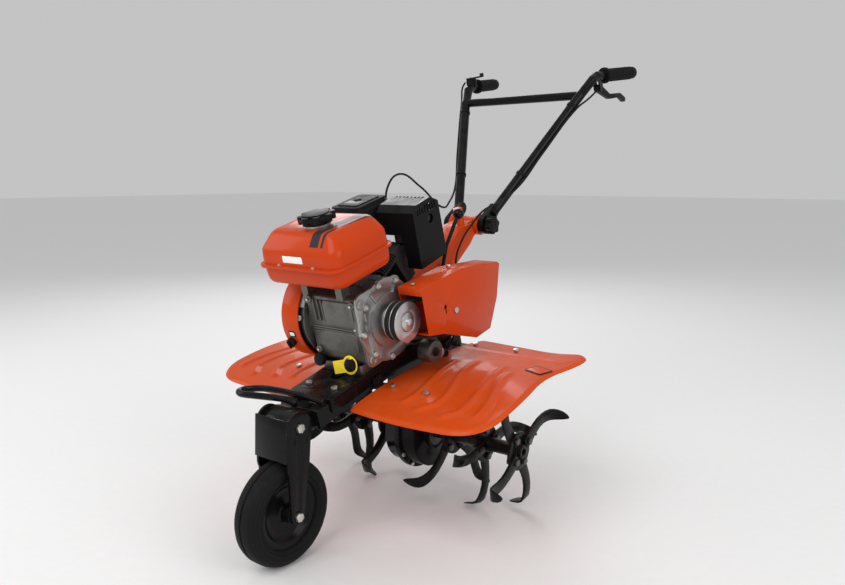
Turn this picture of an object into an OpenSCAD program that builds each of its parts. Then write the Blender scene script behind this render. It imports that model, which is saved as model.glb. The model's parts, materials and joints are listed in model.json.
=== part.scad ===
// Walk-behind garden tiller with a single-cylinder engine, a belt drive with an idler clutch,
// a gear and chain case, two tine rotors, a swing-up front wheel and a tilting handlebar.
// Each sub-part is drawn with the machine level: rotor axis at Y 0, Z 0, front towards -Y,
// operator's left towards +X. stand() then tips it nose-down onto its wheel and tine tips.

/* [Stance] */
// Nose-down angle that the parked machine stands at
stance = 15.8; // [10:0.1:18]
// Shift along Y that centres the origin under the machine
shift_y = -65.5; // [-80:0.5:-50]

/* [Rotor] */
// Radius from the rotor axis to the tine tips
rotor_r = 169; // [160:1:175]
// Distance from the middle of the machine to the end of each rotor
rotor_half = 302; // [290:1:320]
// Width of one tine arm
tine_w = 30; // [26:1:34]

/* [Drive] */
// Height of the crankshaft above the rotor axis
crank_z = 382; // [380:1:384]
// Outside diameter of the engine pulley
drive_d = 88; // [80:1:92]
// Outside diameter of the gearbox pulley
driven_d = 130; // [122:1:131]
// Inner face of both pulleys
pulley_x = 117; // [116:1:118]
// Module of the gear pair in the case
gear_m = 2; // [2:2]
// Roller pitch of the chain
chain_pitch = 12.7; // [12.7:12.7]

/* [Engine] */
// Width of the fuel tank flange
tank_w = 240; // [220:1:244]
// Length of the fuel tank flange, front to back
tank_len = 192; // [180:1:195]
// Radius of the fan housing
fan_r = 108; // [104:1:110]

/* [Frame] */
// Outside width of the frame rails
rail_w = 110; // [106:1:114]
// Outside radius of the front wheel's tyre
wheel_r = 113; // [108:1:118]
// Width of the tyre
tyre_w = 62; // [50:1:66]

/* [Handlebar] */
// Diameter of the handlebar tube
bar_d = 26; // [24:1:28]
// Half the spread of the arms at the cross bar
bar_spread = 189; // [180:1:200]

/* [Hidden] */
$fn = 48;

orange = [0.85, 0.24, 0.05];
black = [0.05, 0.05, 0.06];
grey = [0.62, 0.62, 0.6];
zinc = [0.75, 0.76, 0.78];

// Points of the drive, as [y, z] in the level machine
crank = [-143, crank_z];
input = [86, 320];
counter_dist = gear_m * (12 + 54) / 2;
output_dist = norm(input);
counter = input - input / output_dist * counter_dist;
output = [0, 0];
tilt = [336, 436];
cylinder_lean = 25;
base_z = 276;
rail_z = 266;
drive_r = drive_d / 2;
driven_r = driven_d / 2;
belt_xs = [126, 141];

// From the standing machine's [y, z], above the floor, to the level machine's
function level(p) = [p[0] * cos(stance) + (p[1] - rotor_r) * sin(stance),
    -p[0] * sin(stance) + (p[1] - rotor_r) * cos(stance)];
wheel = level([-476, wheel_r]);
fork_top = [-414, 254];

// Helpers

module stand() {
    translate([0, shift_y, rotor_r]) rotate([stance, 0, 0]) children();
}

// A flat outline in [y, z], given thickness from x0 to x1
module across(x0, x1) {
    translate([x0, 0, 0]) rotate([90, 0, 90]) linear_extrude(x1 - x0) children();
}

// A round bar along X
module axle(p, r, x0, x1) {
    across(x0, x1) translate(p) circle(r);
}

// A round bar between any two points
module rod(a, b, r) {
    d = b - a;
    reach = norm(d);
    translate(a) rotate([0, acos(d[2] / reach), atan2(d[1], d[0])]) cylinder(h = reach, r = r);
}

// A bent bar: rods through a list of points, with round corners
module bent(points, r) {
    for (i = [0 : len(points) - 2]) rod(points[i], points[i + 1], r);
    for (i = [1 : len(points) - 2]) translate(points[i]) sphere(r + 0.3);
}

// Two circles and the straight sides that touch both, as a pulley belt runs
module loop2(a, ra, b, rb) {
    d = b - a;
    base = atan2(d[1], d[0]);
    t = acos((ra - rb) / norm(d));
    translate(a) circle(ra);
    translate(b) circle(rb);
    polygon([for (s = [[a, ra, t], [b, rb, t], [b, rb, -t], [a, ra, -t]])
        s[0] + s[1] * [cos(base + s[2]), sin(base + s[2])]]);
}

module rounded(w, d, r) {
    for (x = [r, w - r], y = [r, d - r]) translate([x, y]) circle(r);
    translate([r, 0]) square([w - 2 * r, d]);
    translate([0, r]) square([w, d - 2 * r]);
}

// Hexagon bolt head with its shank, standing on a face at the origin along +Z
module bolt(r = 4, grip = 14) {
    cylinder(h = r * 1.3, r = r * 1.85, $fn = 6);
    translate([0, 0, -grip]) cylinder(h = grip + 1, r = r);
}

// A tube swept along points that are listed by hand
function ring(p, dir, r, n) =
    let (side = cross(dir, [0.31, 0.22, 0.92]), u = side / norm(side), v = cross(dir, u))
    [for (k = [0 : n - 1]) p + r * (u * cos(360 * k / n) + v * sin(360 * k / n))];
function unit(v) = v / norm(v);

// A smooth curve through the points, a few steps for each stretch
function spline_point(p0, p1, p2, p3, t) = 0.5 * (2 * p1 + (p2 - p0) * t
    + (2 * p0 - 5 * p1 + 4 * p2 - p3) * t * t + (3 * p1 - p0 - 3 * p2 + p3) * t * t * t);
function smooth(pts, steps) = let (n = len(pts)) concat(
    [for (i = [0 : n - 2], k = [0 : steps - 1])
        spline_point(pts[max(i - 1, 0)], pts[i], pts[i + 1], pts[min(i + 2, n - 1)], k / steps)],
    [pts[n - 1]]);

module cable(pts, r, n = 8) {
    last = len(pts) - 1;
    rings = [for (i = [0 : last])
        each ring(pts[i], unit(pts[min(i + 1, last)] - pts[max(i - 1, 0)]), r, n)];
    faces = concat([[for (k = [0 : n - 1]) k]],
        [for (i = [0 : last - 1], k = [0 : n - 1])
            [i * n + k, (i + 1) * n + k, (i + 1) * n + (k + 1) % n, i * n + (k + 1) % n]],
        [[for (k = [n - 1 : -1 : 0]) last * n + k]]);
    polyhedron(rings, faces);
}

// Gear outline: involute flanks at a 25 degree pressure angle, thinned for backlash
gear_angle = 25;
function involute(rb, r) = let (a = acos(rb / r)) tan(a) * 180 / PI - a;
function polar(r, a) = r * [cos(a), sin(a)];
module gear_outline(teeth, m, slack = 0.15) {
    rp = teeth * m / 2;
    rb = rp * cos(gear_angle);
    root = rp - 1.25 * m;
    tip = rp + 0.85 * m;
    start = max(rb + 0.01, root);
    half = 90 / teeth - slack / rp * 180 / PI + involute(rb, rp);
    radii = [for (k = [0 : 3]) start + (tip - start) * k / 3];
    polygon([for (i = [0 : teeth - 1]) let (turn = i * 360 / teeth) each concat(
        [polar(root, turn - half)],
        [for (r = radii) polar(r, turn - half + involute(rb, r))],
        [for (k = [3 : -1 : 0]) polar(radii[k], turn + half - involute(rb, radii[k]))],
        [polar(root, turn + half)])]);
}

// Frame

// Space that the gear case and its flange take up, with a little room
module case_space() {
    across(-case_half - 0.2, case_half + 0.2) case_outline(0.3);
    across(-6.3, 6.3) case_outline(11.4);
}

rail_x = rail_w / 2;
rail_t = 26;
bed_bolt_ys = [-290, -60];
module frame_rails() {
    color(black) stand() {
        difference() {
            for (s = [-1, 1]) {
                across(s > 0 ? rail_x - rail_t : -rail_x, s > 0 ? rail_x : rail_t - rail_x)
                    polygon([[-366, rail_z], [-366, rail_z - 40], [-130, rail_z - 40], [-60, rail_z - 64],
                        [60, rail_z - 64], [60, rail_z - 20], [-40, rail_z]]);
                // Tabs that clasp the gear case
                across(s > 0 ? 45.5 : -rail_x, s > 0 ? rail_x : -45.5) loop2([-20, 226], 22, [40, 200], 22);
            }
            case_space();
            axle([40, 200], 4.3, -60, 60);
            for (y = bed_bolt_ys) translate([0, y, rail_z - 50]) for (x = [-38, 38])
                translate([x, 0, 0]) cylinder(h = 60, r = 4.3);
        }
        translate([-30, -366, rail_z - 38]) cube([60, 8, 34]);
        translate([-30, -196, rail_z - 36]) cube([60, 30, 6]);
    }
}

module engine_bed() {
    color(black) stand() difference() {
        union() {
            translate([-62, -330, rail_z]) linear_extrude(base_z - rail_z) rounded(128, 286, 6);
            for (s = [-1, 1]) translate([s * 59.5 - 2.5, -330, rail_z - 22]) cube([5, 80, 24]);
        }
        for (x = [-38, 38], y = bed_bolt_ys) translate([x, y, rail_z - 1]) cylinder(h = 20, r = 4.3);
        translate([0, -240, rail_z - 1]) cylinder(h = 20, r = 16);
    }
}

module front_bracket() {
    color(black) stand() difference() {
        across(-40, 40) hull() {
            translate(fork_top) circle(27, $fn = 64);
            polygon([[-412, 281.5], [-395, 281.5], [-366.2, 267], [-366.2, 226.5], [-400, 222]]);
        }
        axle(fork_top, 6.3, -41, 41);
    }
}

hoop_points = [[10, -376, 282.5], [-20, -380, 290], [-80, -396, 294], [-128, -404, 294], [-149, -394, 291],
    [-147, -376, 287], [-110, -358, 286], [-40, -348, 284], [20, -344, 279], [55, -341, 274.5]];
module lift_hoop() {
    color(black) stand() cable(smooth(hoop_points, 3), 7.5, 12);
}

// Gear case, split down the middle

case_half = 45;
module case_outline(grow = 0) {
    hull() {
        translate(input) circle(40 + grow, $fn = 64);
        translate(counter) circle(66 + grow, $fn = 64);
        translate(output) circle(90 + grow, $fn = 96);
        translate([66 - grow, 340]) square([84 + 2 * grow, 22 + grow]);
    }
}

module case_shell(side) {
    difference() {
        union() {
            across(side > 0 ? 0.1 : -case_half, side > 0 ? case_half : -0.1) case_outline();
            across(side > 0 ? 0.1 : -6, side > 0 ? 6 : -0.1) case_outline(11);
            axle(output, 44, side > 0 ? 40 : -54, side > 0 ? 54 : -40);
            if (side > 0) axle(input, 30, 40, 56);
        }
        across(side > 0 ? -1 : -35, side > 0 ? 35 : 1) case_outline(-6);
        axle(output, 36.1, side > 0 ? 30 : -55, side > 0 ? 55 : -30);
        axle(counter, 17.6, side > 0 ? 30 : -43, side > 0 ? 43 : -30);
        if (side > 0) axle(input, 20.1, 30, 57);
        else axle(input, 20.1, -43, -30);
        for (p = case_bolt_points) axle(p, 3.2, -10, 10);
        translate([-60, -100, 362]) cube([120, 300, 30]);
    }
}
case_bolt_points = concat([for (a = [-165 : 30 : -15]) polar(95.6, a)],
    [[155.6, 346], [139.4, 244.1], [121.3, 139.9], [12.6, 300.6], [-44, 157]]);

module gearbox_left() {
    color(black) stand() case_shell(1);
}

module gearbox_right() {
    color(black) stand() case_shell(-1);
}

module bearing(p, bore, outer, x0, x1) {
    across(x0, x1) translate(p) difference() {
        circle(outer);
        circle(bore);
    }
}

module gear_bearings() {
    color(zinc) stand() for (s = [-1, 1]) {
        bearing(output, 17.55, 36, s * 44 - 8, s * 44 + 8);
        bearing(counter, 7.55, 17.5, s * 38 - 5, s * 38 + 5);
        bearing(input, 8.55, 20, s > 0 ? 36 : -43, s > 0 ? 52 : -36);
    }
}

sprocket_x = -22;
function chain_r(teeth) = chain_pitch / 2 / sin(180 / teeth);
module drive_chain() {
    color([0.35, 0.35, 0.36]) stand() across(sprocket_x - 6, sprocket_x + 6) difference() {
        loop2(counter, chain_r(9) + 3.9, output, chain_r(36) + 3.9);
        loop2(counter, chain_r(9) - 3.1, output, chain_r(36) - 3.1);
    }
}

// Engine, drawn about the crankshaft

head_dir = polar(1, cylinder_lean);
module crankcase_space(grow = 0) {
    across(-72, 88) hull() {
        translate(crank + [0, 2]) circle(82 + grow, $fn = 64);
        translate(crank + [20, -14]) circle(84 + grow, $fn = 64);
    }
    // Square front of the casting
    across(-56 - grow, 88) translate([-227 - grow, 304]) rounded(120, 158 + grow, 16);
}

module crankcase() {
    color(grey) stand() difference() {
        union() {
            crankcase_space();
            // Foot, cut flat at the engine bed
            translate([-60, -222, base_z]) linear_extrude(22) rounded(120, 176, 8);
            across(-46, 46) translate(crank) rotate(cylinder_lean) translate([40, -48]) square([42, 96]);
            axle(crank, 92, 78, 88);
            axle(crank, 98, -76, -66);
        }
        translate([-100, -300, base_z - 100]) cube([200, 320, 100]);
        axle(crank, 66, -60, 89);
        axle(crank, 12.6, -80, 0);
        across(-32, 32) translate(crank) rotate(cylinder_lean) translate([30, -32]) square([60, 64]);
        across(-50.2, 50.2) translate(crank) rotate(cylinder_lean) translate([82.1, -60]) square([60, 120]);
        for (x = [-38, 38]) translate([x, -60, base_z - 1]) cylinder(h = 40, r = 4.3);
        for (s = [-1, 1]) translate([s * 46, -214, base_z + 26]) rotate([75, 0, 0])
            translate([0, 0, -6]) cylinder(h = 40, r = 8.1);
    }
}

module side_cover() {
    color([0.68, 0.68, 0.67]) stand() difference() {
        union() {
            axle(crank, 92, 88.2, 95);
            across(88.2, 94) translate([-231, 300]) rounded(150, 168, 20);
            axle(crank, 60, 94, 101);
            axle(crank, 30, 100, 109);
            for (a = [20 : 40 : 340]) axle(crank + polar(85, a), 7.5, 88.2, 100);
            for (a = [0 : 60 : 300]) across(94, 99.5) translate(crank) rotate(a)
                translate([28, -2]) square([58, 4]);
        }
        axle(crank, 12.6, 80, 120);
        translate([80, -300, base_z - 100]) cube([60, 320, 100]);
    }
}

bore_r = 34;
module cylinder_block() {
    color(black) stand() across(-50, 50) translate(crank) rotate(cylinder_lean) difference() {
        union() {
            translate([82.3, -40]) square([66, 80]);
            for (i = [0 : 8]) translate([88 + 7 * i, -52]) square([3, 104]);
        }
        translate([60, -bore_r]) square([76, 2 * bore_r]);
    }
}

module rocker_cover() {
    color(black) stand() across(-42, 42) translate(crank) rotate(cylinder_lean) {
        translate([148.6, -46]) square([30, 92]);
        translate([178, -34]) rounded(26, 68, 8);
    }
}

switch_x = -112;
switch_turn = 108;
module fan_housing() {
    color(orange) stand() difference() {
        union() {
            axle(crank, fan_r, -128, -77);
            across(-128, -77) polygon([crank + [0, 60], crank + [0, fan_r], [10, 508], [40, 470],
                [-40, 400]]);
        }
        axle(crank, fan_r - 2.5, -125.5, -70);
        across(-125.5, -70) polygon([crank + [0, 58], crank + [2, fan_r - 3], [8, 504], [36, 470],
            [-42, 402]]);
        axle(crank, 66, -140, -120);
        translate([-140, -300, base_z - 120]) cube([100, 320, 120]);
        translate([switch_x, crank[0], crank[1]]) rotate([switch_turn, 0, 0])
            translate([0, 0, fan_r - 10]) cylinder(h = 50, r = 6.2);
    }
}

module starter_cover() {
    color(black) stand() difference() {
        union() {
            axle(crank, 84, -140, -128.2);
            axle(crank, 74, -158, -139);
            across(-156, -130) translate(crank) rotate(52) translate([56, -14]) square([34, 28]);
        }
        axle(crank, 70, -154, -120);
        for (a = [0 : 20 : 340]) across(-160, -152) translate(crank) rotate(a)
            translate([34, -3.5]) rounded(30, 7, 3.4);
        translate([-144, crank[0], crank[1]]) rotate([-38, 0, 0]) cylinder(h = 120, r = 3.2);
    }
}

tank_y = -183;
module tank_plan(w, d, r, h) {
    translate([-10 - w / 2, tank_y - d / 2, 0]) linear_extrude(h) rounded(w, d, r);
}
module fuel_tank() {
    color(orange) stand() difference() {
        union() {
            hull() {
                translate([0, 0, 499]) tank_plan(tank_w - 26, tank_len - 40, 26, 1, $fn = 32);
                translate([0, 0, 516]) tank_plan(tank_w - 10, tank_len - 24, 26, 26, $fn = 32);
            }
            translate([0, 0, 540]) tank_plan(tank_w, tank_len, 26, 5, $fn = 32);
            hull() {
                translate([0, 0, 544]) tank_plan(tank_w - 10, tank_len - 14, 26, 44, $fn = 32);
                translate([0, 0, 612]) tank_plan(tank_w - 58, tank_len - 46, 20, 2, $fn = 32);
            }
            translate([8, -203, 604]) cylinder(h = 16, r = 25);
        }
        hull() {
            translate([0, 0, 502]) tank_plan(tank_w - 32, tank_len - 46, 24, 1, $fn = 32);
            translate([0, 0, 518]) tank_plan(tank_w - 16, tank_len - 30, 24, 60, $fn = 32);
            translate([0, 0, 608]) tank_plan(tank_w - 64, tank_len - 52, 18, 2, $fn = 32);
        }
        translate([8, -203, 590]) cylinder(h = 40, r = 21);
    }
    // Legs that stand on the crankcase and the cylinder
    color(grey) stand() difference() {
        for (x = [-56, 46], y = [-214, -150]) translate([x - 9, y - 12, 440]) cube([18, 24, 60.9]);
        crankcase_space(0.1);
    }
}

module fuel_cap() {
    color(black) stand() translate([8, -203, 620.3]) {
        cylinder(h = 10, r = 31);
        translate([0, 0, 9]) cylinder(h = 8, r = 37);
        for (a = [0 : 45 : 315]) rotate(a) translate([32, 0, 4]) cylinder(h = 16, r = 8);
        translate([0, 0, 16]) cylinder(h = 6, r = 28);
        translate([0, 0, -22]) cylinder(h = 23, r = 20.4);
    }
}

module muffler() {
    color([0.3, 0.29, 0.28]) stand() {
        across(12, 84) translate([14, 520]) rounded(66, 52, 14);
        translate([30, 22, 500]) cylinder(h = 24, r = 14);
        translate([84 - 2, 56, 548]) rotate([0, 90, 0]) cylinder(h = 12, r = 9);
    }
}

module muffler_shroud() {
    color(black) stand() difference() {
        across(-6, 100) polygon([[-4, 445], [-4, 578], [12, 592], [66, 596], [94, 580], [97, 456],
            [90, 449]]);
        across(-8, 97.5) polygon([[-1.5, 440], [-1.5, 577], [13, 589.5], [65, 593.5], [91.5, 578.5],
            [94, 440]]);
        for (i = [0 : 7]) translate([90, 10 + i * 9.5, 566]) cube([20, 5, 18]);
        for (i = [0 : 7]) translate([4 + i * 11, 58, 570]) cube([6, 50, 40]);
        translate([90, 56, 548]) rotate([0, 90, 0]) cylinder(h = 20, r = 11);
        translate([-10, -10, 430]) cube([70, 120, 94]);
    }
}

module air_filter() {
    color(black) stand() {
        translate([-118, -52, 545]) linear_extrude(44) rounded(100, 122, 16);
        translate([-112, -46, 588]) linear_extrude(12) rounded(88, 110, 14);
        translate([-114, -48, 522]) linear_extrude(24) rounded(92, 114, 14);
        translate([-68, 8, 599]) cylinder(h = 7, r = 9);
    }
}

module carburettor() {
    color(grey) stand() {
        translate([-76.8, -4, 474]) cube([32.8, 34, 40]);
        translate([-60, 13, 512]) cylinder(h = 9.9, r = 16);
        translate([-60, 13, 456]) cylinder(h = 20, r = 15);
        translate([-46, 13, 494]) rotate([0, 90, 0]) cylinder(h = 3.8, r = 12);
    }
}

module spark_plug() {
    color(black) stand() translate([-20, crank[0], crank[1]]) rotate([cylinder_lean, 0, 0])
        translate([0, 206, -20]) {
            rotate([-90, 0, 0]) cylinder(h = 26, r = 7);
            rotate([-90, 0, 0]) translate([0, 0, 18]) cylinder(h = 14, r = 10);
            translate([0, 30, 0]) rotate([0, -90, 0]) cylinder(h = 40, r = 6);
        }
}

module oil_plugs() {
    color([0.1, 0.1, 0.1]) stand() for (s = [-1, 1])
        translate([s * 46, -214, base_z + 26]) rotate([75, 0, 0]) {
            translate([0, 0, -4]) cylinder(h = 24, r = 8);
            translate([0, 0, 19]) cylinder(h = 10, r = 15, $fn = 10);
            if (s > 0) rotate(195) translate([4, 0, 20.5]) linear_extrude(1.4)
                difference() {
                    union() {
                        circle(21);
                        translate([0, -14]) square([50, 29]);
                    }
                    circle(15.6);
                }
        }
}

module engine_switch() {
    color(black) stand() translate([switch_x, crank[0], crank[1]]) rotate([switch_turn, 0, 0])
        translate([0, 0, fan_r]) {
            translate([0, 0, 0.3]) cylinder(h = 10, r = 11);
            translate([-2, -10, 10]) cube([4, 20, 6]);
            translate([0, 0, -10]) cylinder(h = 11, r = 6);
        }
}

// Crankshaft, flywheel and belt drive

module crankshaft() {
    color(zinc) stand() {
        axle(crank, 12.5, -124, 147);
        for (x = [-30, 16]) across(x, x + 14) {
            translate(crank) circle(26);
            translate(crank) intersection() {
                circle(56);
                translate([-50, -60]) square([100, 48]);
            }
        }
    }
}

module flywheel() {
    color([0.4, 0.4, 0.42]) stand() difference() {
        union() {
            axle(crank, 88, -104, -88);
            axle(crank, 30, -122, -103);
            for (a = [0 : 24 : 336]) across(-118, -103) translate(crank) rotate(a)
                translate([50, -2]) square([36, 4]);
        }
        axle(crank, 12.5, -130, -80);
    }
}

module grooved(p, r, bore, x0) {
    difference() {
        axle(p, r, x0, x0 + 33);
        for (x = belt_xs) translate([x, p[0], p[1]]) rotate([0, 90, 0]) rotate_extrude()
            polygon([[r - 12, -4.6], [r + 1, -7], [r + 1, 7], [r - 12, 4.6]]);
        axle(p, bore, x0 - 1, x0 + 40);
        axle(p, r - 22, x0 + 22, x0 + 34);
    }
}

module drive_pulley() {
    color(zinc) stand() {
        grooved(crank, drive_r, 12.5, pulley_x);
        difference() {
            axle(crank, 21, pulley_x + 20, pulley_x + 34);
            axle(crank, 12.5, pulley_x, pulley_x + 35);
        }
        translate([147, crank[0], crank[1]]) rotate([0, 90, 0]) cylinder(h = 4, r = 16);
        translate([150.9, crank[0], crank[1]]) rotate([0, 90, 0]) cylinder(h = 6, r = 9, $fn = 6);
    }
}

module driven_pulley() {
    color([0.16, 0.16, 0.17]) stand() {
        grooved(input, driven_r, 8.5, pulley_x);
        difference() {
            axle(input, 24, pulley_x - 20, pulley_x + 32);
            axle(input, 8.5, pulley_x - 21, pulley_x + 33);
        }
    }
}

module v_belts() {
    color([0.08, 0.08, 0.08]) stand() for (x = belt_xs) across(x - 4.2, x + 4.2) difference() {
        loop2(crank, drive_r - 1.5, input, driven_r - 1.5);
        loop2(crank, drive_r - 10, input, driven_r - 10);
    }
}

idler_pivot = [-8, 236];
idler_at = [-68, 273.3];
idler_tail = idler_pivot + [24, -14];
module idler_arm() {
    color(black) stand() {
        difference() {
            across(106, 112) union() {
                loop2(idler_pivot, 13, idler_at, 12);
                loop2(idler_pivot, 13, idler_tail, 8);
            }
            axle(idler_pivot, 8.05, 100, 120);
            axle(idler_tail, 3, 100, 120);
        }
        axle(idler_at, 7, 111, 151);
        axle(idler_at, 10, 150, 153);
    }
}

module idler_pulley() {
    color([0.2, 0.2, 0.21]) stand() difference() {
        axle(idler_at, 26, 116, 149);
        axle(idler_at, 7.05, 100, 160);
    }
}

// Belt guard: outer face with a rolled top, and the plate behind the pulleys

function guard_points(in = 0) = [[-113 + in, 448 - in], [40, 436 - in], [190, 396 - in],
    [198 - in, 388 - in], [168 - in, 312 + in], [121 - in, 249 + in], [60, 252 + in], [0, 285 + in],
    [-60, 318 + in], [-113 + in, 337 + in]];
module belt_cover() {
    color(orange) stand() {
        difference() {
            across(112, 175) polygon(guard_points());
            across(100, 173) polygon(guard_points(2));
            across(100, 180) translate([-120, 330]) square([9, 100]);
            // Open underneath, so the idler and the belts can move
            across(111, 173) polygon([[-130, 330], [-60, 320], [0, 290], [60, 256], [118, 252],
                [118, 200], [-130, 200]]);
            translate([172, -38, 374]) rotate([0, 90, 0]) cylinder(h = 6, r = 5);
            across(170, 178) translate([-40, 358]) square([4, 16]);
        }
    }
}

module belt_cover_back() {
    color(orange) stand() difference() {
        across(109.5, 111.5) polygon(guard_points(3));
        axle(crank, 40, 100, 120);
        axle(input, 33, 100, 120);
        axle(idler_at, 40, 100, 120);
        axle(idler_pivot, 58, 100, 120);
        across(100, 120) polygon([[-68, 222], [-68, 302], [60, 270], [60, 200]]);
    }
}

module cover_screws() {
    color(zinc) stand() {
        translate([175, -4, 352]) rotate([0, 90, 0]) cylinder(h = 4, r = 7);
        for (p = [[-95, 441], [40, 430]]) translate([141, p[0], p[1] + 7.5]) bolt(3, 0);
        axle(idler_pivot, 8, rail_x + 0.1, 114);
        axle(idler_pivot, 12, 112.3, 115);
        axle(idler_pivot, 14, rail_x + 0.1, 64);
    }
}

// Handlebar column and its clamp

module handle_column() {
    color(orange) stand() difference() {
        union() {
            translate([-44, 61, 362.2]) cube([88, 88, 6]);
            across(-34, 34) polygon([[96, 362.2], [96, 376], [128, 392], [252, 452], [300, 452],
                [318, 420], [290, 400], [196, 362.2]]);
            axle(tilt, 22, -45, 45);
            for (s = [-1, 1]) axle(tilt, 27, s * 39 - 5, s * 39 + 5);
            across(-30, 30) polygon([[280, 402], [tilt[0], 416], [tilt[0], 456], [280, 452]]);
        }
        across(-30.5, 30.5) polygon([[118, 368], [126, 384], [240, 438], [270, 430], [280, 404],
            [200, 368]]);
        axle(tilt, 8.1, -60, 60);
        translate([14, 283, 395]) cylinder(h = 110, r = 12);
    }
    color(zinc) stand() translate([14, 283, 398]) cylinder(h = 100, r = 12);
}

// The tilt bolt runs through the handlebar's lugs and carries the knob
module clamp_knob() {
    color(black) stand() difference() {
        union() {
            axle(tilt, 14, 63.3, 74);
            for (a = [0 : 60 : 300]) axle(tilt + polar(16, a), 8, 68, 86);
            axle(tilt, 20, 68, 86);
        }
        axle(tilt, 8.05, 60, 78);
    }
}

arm_foot = [59, 388, 461];
arm_top = [bar_spread, 685, 697];
grip_start = [208, 760, 734];
grip_end = [236, 930, 712];
arm_path = [[58, 372, 453], arm_foot, arm_top, [205, 733, 728], grip_start, grip_end];
module handlebar() {
    color(black) stand() for (s = [-1, 1]) {
        path = [for (p = arm_path) [s * p[0], p[1], p[2]]];
        difference() {
            union() {
                bent(path, bar_d / 2);
                across(s * 54 - 7.5, s * 54 + 7.5) loop2(tilt, 24, tilt + [56, 26], 16);
                if (s > 0) for (x = [197.7, 214.3]) across(x, x + 4)
                    loop2([grip_start[1], grip_start[2]], 10, [clutch_pivot[1], clutch_pivot[2]], 9);
                if (s > 0) axle([clutch_pivot[1], clutch_pivot[2]], 4, 198, 218);
                if (s < 0) translate([-grip_start[0], grip_start[1], grip_start[2]]) {
                    cylinder(h = 22.2, r = 16);
                    cylinder(h = 30.5, r = 3);
                }
            }
            axle(tilt, 8.05, -70, 70);
        }
    }
    color(black) stand() rod([9 - arm_top[0], arm_top[1], arm_top[2]],
        [arm_top[0] - 9, arm_top[1], arm_top[2]], bar_d / 2 - 1.5);
}

grip_dir = unit(grip_end - grip_start);
module hand_grips() {
    color([0.07, 0.07, 0.07]) stand() for (s = [-1, 1]) mirror([s > 0 ? 0 : 1, 0, 0]) {
        difference() {
            union() {
                rod(grip_start + 40 * grip_dir, grip_end + 6 * grip_dir, 17);
                for (i = [0 : 9]) rod(grip_start + (50 + 12 * i) * grip_dir,
                    grip_start + (56 + 12 * i) * grip_dir, 18.2);
                rod(grip_start + 34 * grip_dir, grip_start + 40 * grip_dir, 22);
            }
            rod(grip_start, grip_end, bar_d / 2 + 0.05);
        }
    }
}

// Levers on the grips

clutch_pivot = grip_start + [0, 4, -34];
module clutch_lever() {
    color(black) stand() difference() {
        union() {
            translate([clutch_pivot[0] - 6, 0, 0]) across(0, 12) loop2([clutch_pivot[1], clutch_pivot[2]],
                11, [clutch_pivot[1] + 60, clutch_pivot[2] - 34], 7);
            translate([clutch_pivot[0] - 6, 0, 0]) across(0, 12)
                loop2([clutch_pivot[1] + 60, clutch_pivot[2] - 34], 7,
                    [clutch_pivot[1] + 132, clutch_pivot[2] - 44], 6);
            translate([clutch_pivot[0] - 6, 0, 0]) across(0, 12)
                loop2([clutch_pivot[1] + 132, clutch_pivot[2] - 44], 6,
                    [clutch_pivot[1] + 160, clutch_pivot[2] - 62], 7);
        }
        axle([clutch_pivot[1], clutch_pivot[2]], 4.05, 150, 260);
    }
}

module throttle_lever() {
    color(black) stand() translate([-grip_start[0], grip_start[1], grip_start[2] + 22.5]) difference() {
        union() {
            cylinder(h = 7, r = 15);
            rotate(60) translate([0, -6, 1]) linear_extrude(5) rounded(44, 12, 5.9);
            rotate(60) translate([38, 0, 1]) cylinder(h = 12, r = 6);
        }
        translate([0, 0, -1]) cylinder(h = 10, r = 3.05);
    }
}

// Fenders: sheets arched from front to back over the rotors

module fender_sheet() {
    arch_r = 1400;
    front = [-290, 236];
    rear = [212, 156];
    mid = (front + rear) / 2;
    d = rear - front;
    reach = norm(d);
    low = mid + [d[1], -d[0]] / reach * sqrt(arch_r * arch_r - reach * reach / 4);
    difference() {
        intersection() {
            across(50, 410) translate(low) difference() {
                circle(arch_r, $fn = 256);
                circle(arch_r - 2.5, $fn = 256);
            }
            translate([0, 0, 80]) linear_extrude(300) hull() for (c = fender_corners)
                translate([c[0], c[1]]) circle(c[2], $fn = 32);
        }
        for (p = fender_holes) translate([p[0], p[1], 100]) cylinder(h = 200, r = 4.3);
    }
}
// Corners of the outline from above: x, y and corner radius
fender_corners = [[80, -276, 12], [312, -226, 46], [360, 166, 42], [82, 222, 14]];
fender_holes = [[102, -180], [196, -180], [102, 150], [221, 150]];

module fender_left() {
    color(orange) stand() fender_sheet();
}

module fender_right() {
    color(orange) stand() mirror([1, 0, 0]) fender_sheet();
}

// Height of the underside of the sheets at the brackets
function sheet_z(y) = let (front = [-290, 236], rear = [212, 156], d = rear - front,
    low = (front + rear) / 2 + [d[1], -d[0]] / norm(d) * sqrt(1400 * 1400 - d * d / 4))
    low[1] + sqrt(1397.5 * 1397.5 - (y - low[0]) * (y - low[0]));

module fender_brackets() {
    color(black) stand() for (s = [-1, 1], y = [-180, 150]) difference() {
        union() {
            x0 = y < 0 ? rail_x + 0.1 : 46;
            across(s > 0 ? x0 : -250, s > 0 ? 250 : -x0)
                polygon([for (c = [[-14, -0.2], [14, -0.2], [14, -5.2], [-14, -5.2]])
                    [y + c[0], sheet_z(y + c[0]) + c[1]]]);
            if (y < 0) translate([s > 0 ? x0 : -x0 - 6, y - 14, sheet_z(y) - 5]) cube([6, 28, 25]);
            else translate([s > 0 ? 45.3 : -50.3, y - 60, sheet_z(y) - 5]) cube([5, 70, 35]);
        }
        for (p = fender_holes) translate([s * p[0], p[1], 100]) cylinder(h = 200, r = 4.3);
    }
}

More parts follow.
